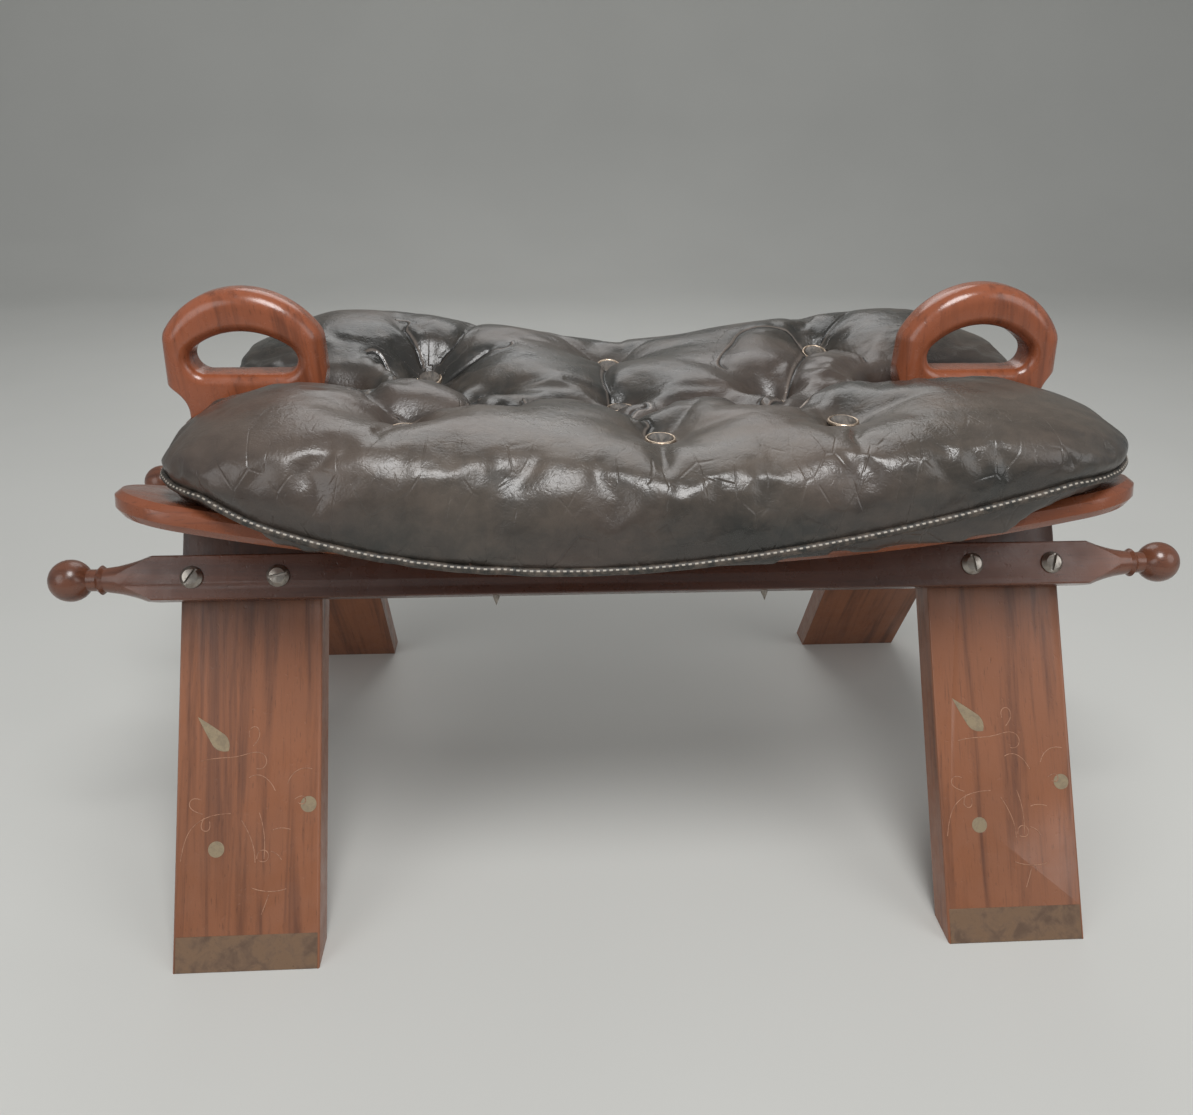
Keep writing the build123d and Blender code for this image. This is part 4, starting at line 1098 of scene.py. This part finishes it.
class STOOL_OT_cushion(Operator):
    """Form the tufted saddle cushion: stuff it, draw in the buttons, fold it and part it at the seam"""
    bl_idname = "stool.cushion"
    bl_label = "Cushion"

    def execute(self, context):
        leather = cushion_leather()
        piece = self.stuffed_form()
        xyz = points_of(piece.data) / MM
        above = draw_in_tufts(xyz, normals_of(piece.data)[:, 2])
        xyz = seat_tufts(xyz, above)
        set_points(piece.data, xyz)
        swell(piece, held_points(xyz, above))
        finer = piece.modifiers.new("finer", "SUBSURF")
        finer.levels = finer.render_levels = 1
        applied(piece)
        xyz = points_of(piece.data) / MM
        seam_gap = over_seam(xyz)
        looks = fold_leather(xyz, normals_of(piece.data)[:, 2], seam_gap)
        for name, values in looks.items():
            layer = piece.data.attributes.new(name, "FLOAT", "POINT")
            layer.data.foreach_set("value", values.astype(np.float32))
        set_points(piece.data, xyz)
        self.part_at_seam(piece, leather, seam_gap)
        return {"FINISHED"}

    def stuffed_form(self):
        """The plain cushion with its handle slots and leg room, on an even mesh."""
        piece = object_from("cushion_form", cushion_blank(), None, None)
        cutters = []
        for make in (notch_cutter, room_cutter):
            for side in (-1, 1):
                cutter = object_from("cutter", make(side), None, None)
                cut = piece.modifiers.new("cut", "BOOLEAN")
                cut.operation = "DIFFERENCE"
                cut.solver = "EXACT"
                cut.object = cutter
                cutters.append(cutter)
        voxels = piece.modifiers.new("even_mesh", "REMESH")
        voxels.mode = "VOXEL"
        voxels.voxel_size = VOXEL * MM
        applied(piece)
        for cutter in cutters:
            bpy.data.objects.remove(cutter)
        bm = bmesh.new()
        bm.from_mesh(piece.data)
        for _ in range(3):
            bmesh.ops.smooth_vert(bm, verts=bm.verts, factor=0.5, use_axis_x=True, use_axis_y=True,
                                  use_axis_z=True)
        bm.to_mesh(piece.data)
        bm.free()
        return piece

    def part_at_seam(self, piece, leather, seam_gap):
        """Makes the top cover and the under panel from the one formed shape."""
        for name, node, upper in (("cushion_cover", "cushion_top_cover", True),
                                  ("cushion_panel", "cushion_under_panel", False)):
            bm = bmesh.new()
            bm.from_mesh(piece.data)
            bm.verts.ensure_lookup_table()
            gone = [f for f in bm.faces if (np.mean([seam_gap[v.index] for v in f.verts]) >= 0) != upper]
            bmesh.ops.delete(bm, geom=gone, context="FACES")
            for vert in bm.verts:
                if vert.is_boundary:
                    x, y, _ = vert.co / MM
                    level = float(seam_at(x - CUSHION_SHIFT, y)) + (-SEAM_LAP if upper else SEAM_LAP)
                    vert.co.z = level * MM
            bmesh.ops.holes_fill(bm, edges=[e for e in bm.edges if e.is_boundary], sides=0)
            bmesh.ops.triangulate(bm, faces=[f for f in bm.faces if len(f.verts) > 4])
            nodes = (node, "cushion_stuffing", "tuft_twines", "tuft_patches") if upper else (node,)
            made = object_from(name, bm, leather, "cushion", nodes)
        bpy.data.objects.remove(piece)


def eased(line, times):
    """The line with its inner points drawn towards their neighbours."""
    for _ in range(times):
        inner = [(a + b * 2 + c) / 4 for a, b, c in zip(line, line[1:], line[2:])]
        line = [line[0]] + inner + [line[-1]]
    return line


def tube(bm, uv, line, radius, sides):
    """A closed tube along the line, its UV map in metres along and turns around."""
    rows, run, up = [], 0.0, Vector((0, 0, 1))
    for k, point in enumerate(line):
        ahead = (line[min(k + 1, len(line) - 1)] - line[max(k - 1, 0)]).normalized()
        out = ahead.cross(up).normalized()
        lift = out.cross(ahead)
        if k:
            run += (point - line[k - 1]).length
        turns = [2 * pi * j / sides for j in range(sides)]
        rows.append(([bm.verts.new(point + radius * (cos(a) * out + sin(a) * lift)) for a in turns], run))
    for (first, a), (second, b) in zip(rows, rows[1:]):
        for j in range(sides):
            n = (j + 1) % sides
            face = bm.faces.new((first[j], first[n], second[n], second[j]))
            for loop, where in zip(face.loops, ((a, j), (a, j + 1), (b, j + 1), (b, j))):
                loop[uv].uv = (where[0], where[1] / sides)
    bm.faces.new(rows[0][0][::-1])
    bm.faces.new(rows[-1][0])


class STOOL_OT_welt(Operator):
    """Sew the corded welt along the cushion's seam"""
    bl_idname = "stool.welt"
    bl_label = "Welt"

    def execute(self, context):
        cover = bpy.data.objects["cushion_cover"]
        bm = bmesh.new()
        bm.from_mesh(cover.data)
        underneath = [face for face in bm.faces if face.normal.z < -0.75]
        bmesh.ops.delete(bm, geom=underneath, context="FACES")
        tree = BVHTree.FromBMesh(bm)
        leather = cord_leather()
        made = bmesh.new()
        uv = made.loops.layers.uv.new("UVMap")
        for side in (-1, 1):
            path = []
            end = 0.985 * CUSHION_HALF
            deep = float(half_depth(end))
            plan = [(-end - 3.5, 34), (-end - 3.5, 60), (-end - 3, deep - 12)]
            plan += [(0.985 * CUSHION_HALF * sin(radians(90) * k / 40), None) for k in range(-39, 40)]
            plan += [(end + 3, deep - 12), (end + 3.5, 60), (end + 3.5, 34)]
            for u, y in plan:
                y = float(half_depth(u)) if y is None else y
                path.append(Vector((CUSHION_SHIFT + u, side * y, float(seam_at(u, side * y)) - 0.2)) * MM)
            if side > 0:
                path.reverse()
            line = [Vector(p) for p in flowing(path, 4)]
            hugging = []
            for point in line:
                spot, normal, _, _ = tree.find_nearest(point)
                flat = Vector((normal.x, normal.y, 0)).normalized()
                hugging.append(Vector((spot.x, spot.y, point.z)) + flat * WELT * 0.45 * MM)
            tube(made, uv, eased(hugging, 4), WELT * MM, 12)
        bm.free()
        bmesh.ops.recalc_face_normals(made, faces=made.faces)
        object_from("seam_welt", made, leather, "cushion", ("cushion_welt",))
        return {"FINISHED"}


class STOOL_OT_fold_edges(Operator):
    """Lay the rolled edge of the scalloped fold behind the front roll"""
    bl_idname = "stool.fold_edges"
    bl_label = "Fold Edges"

    def execute(self, context):
        bm = bmesh.new()
        bm.from_mesh(bpy.data.objects["cushion_cover"].data)
        tree = BVHTree.FromBMesh(bm)
        bm.free()
        made = bmesh.new()
        uv = made.loops.layers.uv.new("UVMap")
        for points, _, lip in ARCHES:
            if lip < HIGHLIT_LIP:
                continue
            path = []
            for x, y in flowing(points, 6):
                spot = tree.ray_cast(Vector((x, y - 2.0, 400.0)) * MM, Vector((0, 0, -1)))[0]
                path.append(spot - Vector((0, 0, 0.25 * MM)))
            tube(made, uv, eased(path, 3)[2:-2], FOLD_EDGE * MM, 8)
        bmesh.ops.recalc_face_normals(made, faces=made.faces)
        # The rolled edge is coloured pale as a painted highlight along each arch's crest.
        edge = metal("rubbed_fold_edge", srgb(150, 138, 128), srgb(92, 82, 74), 0.3, 0.9, 0.7, 0.0)
        object_from("fold_edges", made, edge, "cushion")
        return {"FINISHED"}


def turned(profile, place, steps=40):
    """A round solid turned from a profile of (radius, height) in mm, put in its place."""
    bm = bmesh.new()
    verts = [bm.verts.new(Vector((r, 0, z)) * MM) for r, z in profile]
    edges = [bm.edges.new(pair) for pair in zip(verts, verts[1:])]
    bmesh.ops.spin(bm, geom=verts + edges, cent=(0, 0, 0), axis=(0, 0, 1), angle=2 * pi, steps=steps,
                   use_merge=True)
    bmesh.ops.remove_doubles(bm, verts=bm.verts, dist=0.000005)
    bmesh.ops.recalc_face_normals(bm, faces=bm.faces)
    bmesh.ops.transform(bm, matrix=place, verts=bm.verts)
    return bm


class STOOL_OT_buttons(Operator):
    """Set the leather buttons and their metal rims in the tufts"""
    bl_idname = "stool.buttons"
    bl_label = "Buttons"

    def execute(self, context):
        rim_metal = metal("rim_metal", srgb(196, 178, 158), srgb(120, 92, 74), 0.24, 0.4, 1.6)
        dome_leather = button_cover_leather("button_leather", srgb(106, 98, 90), srgb(58, 54, 50), 300.0, 0.5)
        r = BUTTON_RADIUS
        rim = [(0, 0), (r - 1.2, 0), (r - 0.5, 0.2), (r, 0.9), (r, 1.6), (r - 0.35, 2.25), (r - 1.0, 2.45),
               (r - 1.6, 2.1), (r - 1.8, 1.5), (r - 2.2, 1.2), (0, 1.2)]
        rising = [radians(90 * k / 8) for k in range(8)]
        dome = [(0, 1.25), (r - 1.7, 1.3)]
        dome += [((r - 1.8) * cos(a), 1.7 + 2.2 * sin(a)) for a in rising] + [(0, 3.9)]
        for row, name in enumerate(("rear", "centre", "front")):
            lean = radians(TUFT_LEAN[row])
            for profile, material, slot, node, label in (
                    (rim, rim_metal, "steel", f"button_rims_{name}_row", f"rim_cups_{name}"),
                    (dome, dome_leather, "cushion_leather", f"buttons_{name}_row", f"button_domes_{name}")):
                whole = bmesh.new()
                for x, y, z in TUFTS[row]:
                    place = Matrix.Translation(Vector((x, y, z)) * MM) @ Matrix.Rotation(lean, 4, "X")
                    one = turned(profile, place)
                    mesh = bpy.data.meshes.new("turned")
                    one.to_mesh(mesh)
                    one.free()
                    whole.from_mesh(mesh)
                    bpy.data.meshes.remove(mesh)
                object_from(label, whole, material, "cushion", (node,))
        return {"FINISHED"}


# Camera that matches the photograph: place, turn to the right, down and round, and focal length
CAMERA_SPOT = (-0.055, -0.632, 0.456)
CAMERA_TURN = (3.59, 24.53, 0.54)
FOCAL_PIXELS = 1024
PHOTO_WIDTH = 1193
# Lamps: name, place, size and power
LAMPS = (
    ("key", (0.05, -0.75, 1.55), 0.7, 15.0),
    ("left", (-1.3, -1.2, 1.0), 1.2, 6.0),
    ("right", (1.4, -1.0, 1.1), 1.2, 6.0),
    ("back", (0.0, 1.3, 1.6), 1.4, 9.0),
)


class STOOL_OT_stage(Operator):
    """Set out the pale floor and backdrop, the soft lights and the camera"""
    bl_idname = "stool.stage"
    bl_label = "Stage"

    def execute(self, context):
        scene = context.scene
        bm = bmesh.new()
        wall, sweep = 1.9, 0.9
        profile = [(-3.0, 0.0), (wall, 0.0)]
        for k in range(1, 11):
            a = radians(9 * k)
            profile.append((wall + sweep * sin(a), sweep - sweep * cos(a)))
        profile.append((2.8, 4.0))
        verts = [bm.verts.new((-4.0, y, z)) for y, z in profile]
        edges = [bm.edges.new(pair) for pair in zip(verts, verts[1:])]
        moved = bmesh.ops.extrude_edge_only(bm, edges=edges)["geom"]
        far = [v for v in moved if isinstance(v, bmesh.types.BMVert)]
        bmesh.ops.translate(bm, vec=(8, 0, 0), verts=far)
        bmesh.ops.recalc_face_normals(bm, faces=bm.faces)
        floor = object_from("studio_floor", bm, studio_paper(), None)
        for name, spot, size, power in LAMPS:
            light = bpy.data.lights.new(name, "AREA")
            light.shape = "DISK"
            light.size = size
            light.energy = power
            lamp = bpy.data.objects.new(name, light)
            scene.collection.objects.link(lamp)
            lamp.location = spot
            lamp.rotation_mode = "QUATERNION"
            lamp.rotation_quaternion = (Vector((0, 0, 0.2)) - Vector(spot)).to_track_quat("-Z", "Y")
        world = bpy.data.worlds.new("studio_air")
        scene.world = world
        world.use_nodes = True
        air = world.node_tree.nodes["Background"]
        air.inputs["Color"].default_value = (0.92, 0.94, 0.95, 1)
        air.inputs["Strength"].default_value = 0.3
        scene.view_settings.view_transform = "Standard"

        yaw, pitch, roll = [radians(angle) for angle in CAMERA_TURN]
        forward = Vector((sin(yaw) * cos(pitch), cos(yaw) * cos(pitch), -sin(pitch)))
        right = Vector((cos(yaw), -sin(yaw), 0))
        up = right.cross(forward)
        across = cos(roll) * right + sin(roll) * up
        upright = cos(roll) * up - sin(roll) * right
        data = bpy.data.cameras.new("camera")
        data.sensor_width = 36
        data.lens = data.sensor_width * FOCAL_PIXELS / PHOTO_WIDTH
        camera = bpy.data.objects.new("camera", data)
        scene.collection.objects.link(camera)
        turn = Matrix((across, upright, -forward)).transposed()
        camera.matrix_world = Matrix.Translation(CAMERA_SPOT) @ turn.to_4x4()
        scene.camera = camera
        return {"FINISHED"}


class STOOL_PT_panel(Panel):
    bl_label = "Saddle Stool"
    bl_idname = "STOOL_PT_panel"
    bl_space_type = "VIEW_3D"
    bl_region_type = "UI"
    bl_category = "Saddle Stool"

    def draw(self, context):
        for group in (context.scene.stool_sizes, context.scene.stool_colours):
            box = self.layout.box()
            for name in group.bl_rna.properties.keys():
                if name not in ("rna_type", "name"):
                    box.prop(group, name)
        for operator in OPERATORS:
            self.layout.operator(operator.bl_idname)


OPERATORS = (STOOL_OT_stage, STOOL_OT_legs, STOOL_OT_handles, STOOL_OT_rails, STOOL_OT_slats,
             STOOL_OT_brass, STOOL_OT_vines, STOOL_OT_fasteners, STOOL_OT_cushion, STOOL_OT_welt,
             STOOL_OT_fold_edges, STOOL_OT_buttons)
CLASSES = (StoolSizes, StoolColours, *OPERATORS, STOOL_PT_panel)


def register():
    for one in CLASSES:
        bpy.utils.register_class(one)
    bpy.types.Scene.stool_sizes = PointerProperty(type=StoolSizes)
    bpy.types.Scene.stool_colours = PointerProperty(type=StoolColours)


def unregister():
    del bpy.types.Scene.stool_colours
    del bpy.types.Scene.stool_sizes
    for one in reversed(CLASSES):
        bpy.utils.unregister_class(one)


def main():
    register()
    for operator in OPERATORS:
        group, name = operator.bl_idname.split(".")
        if getattr(getattr(bpy.ops, group), name)() != {"FINISHED"}:
            raise RuntimeError(f"{operator.bl_label} did not finish")


if __name__ == "__main__":
    main()
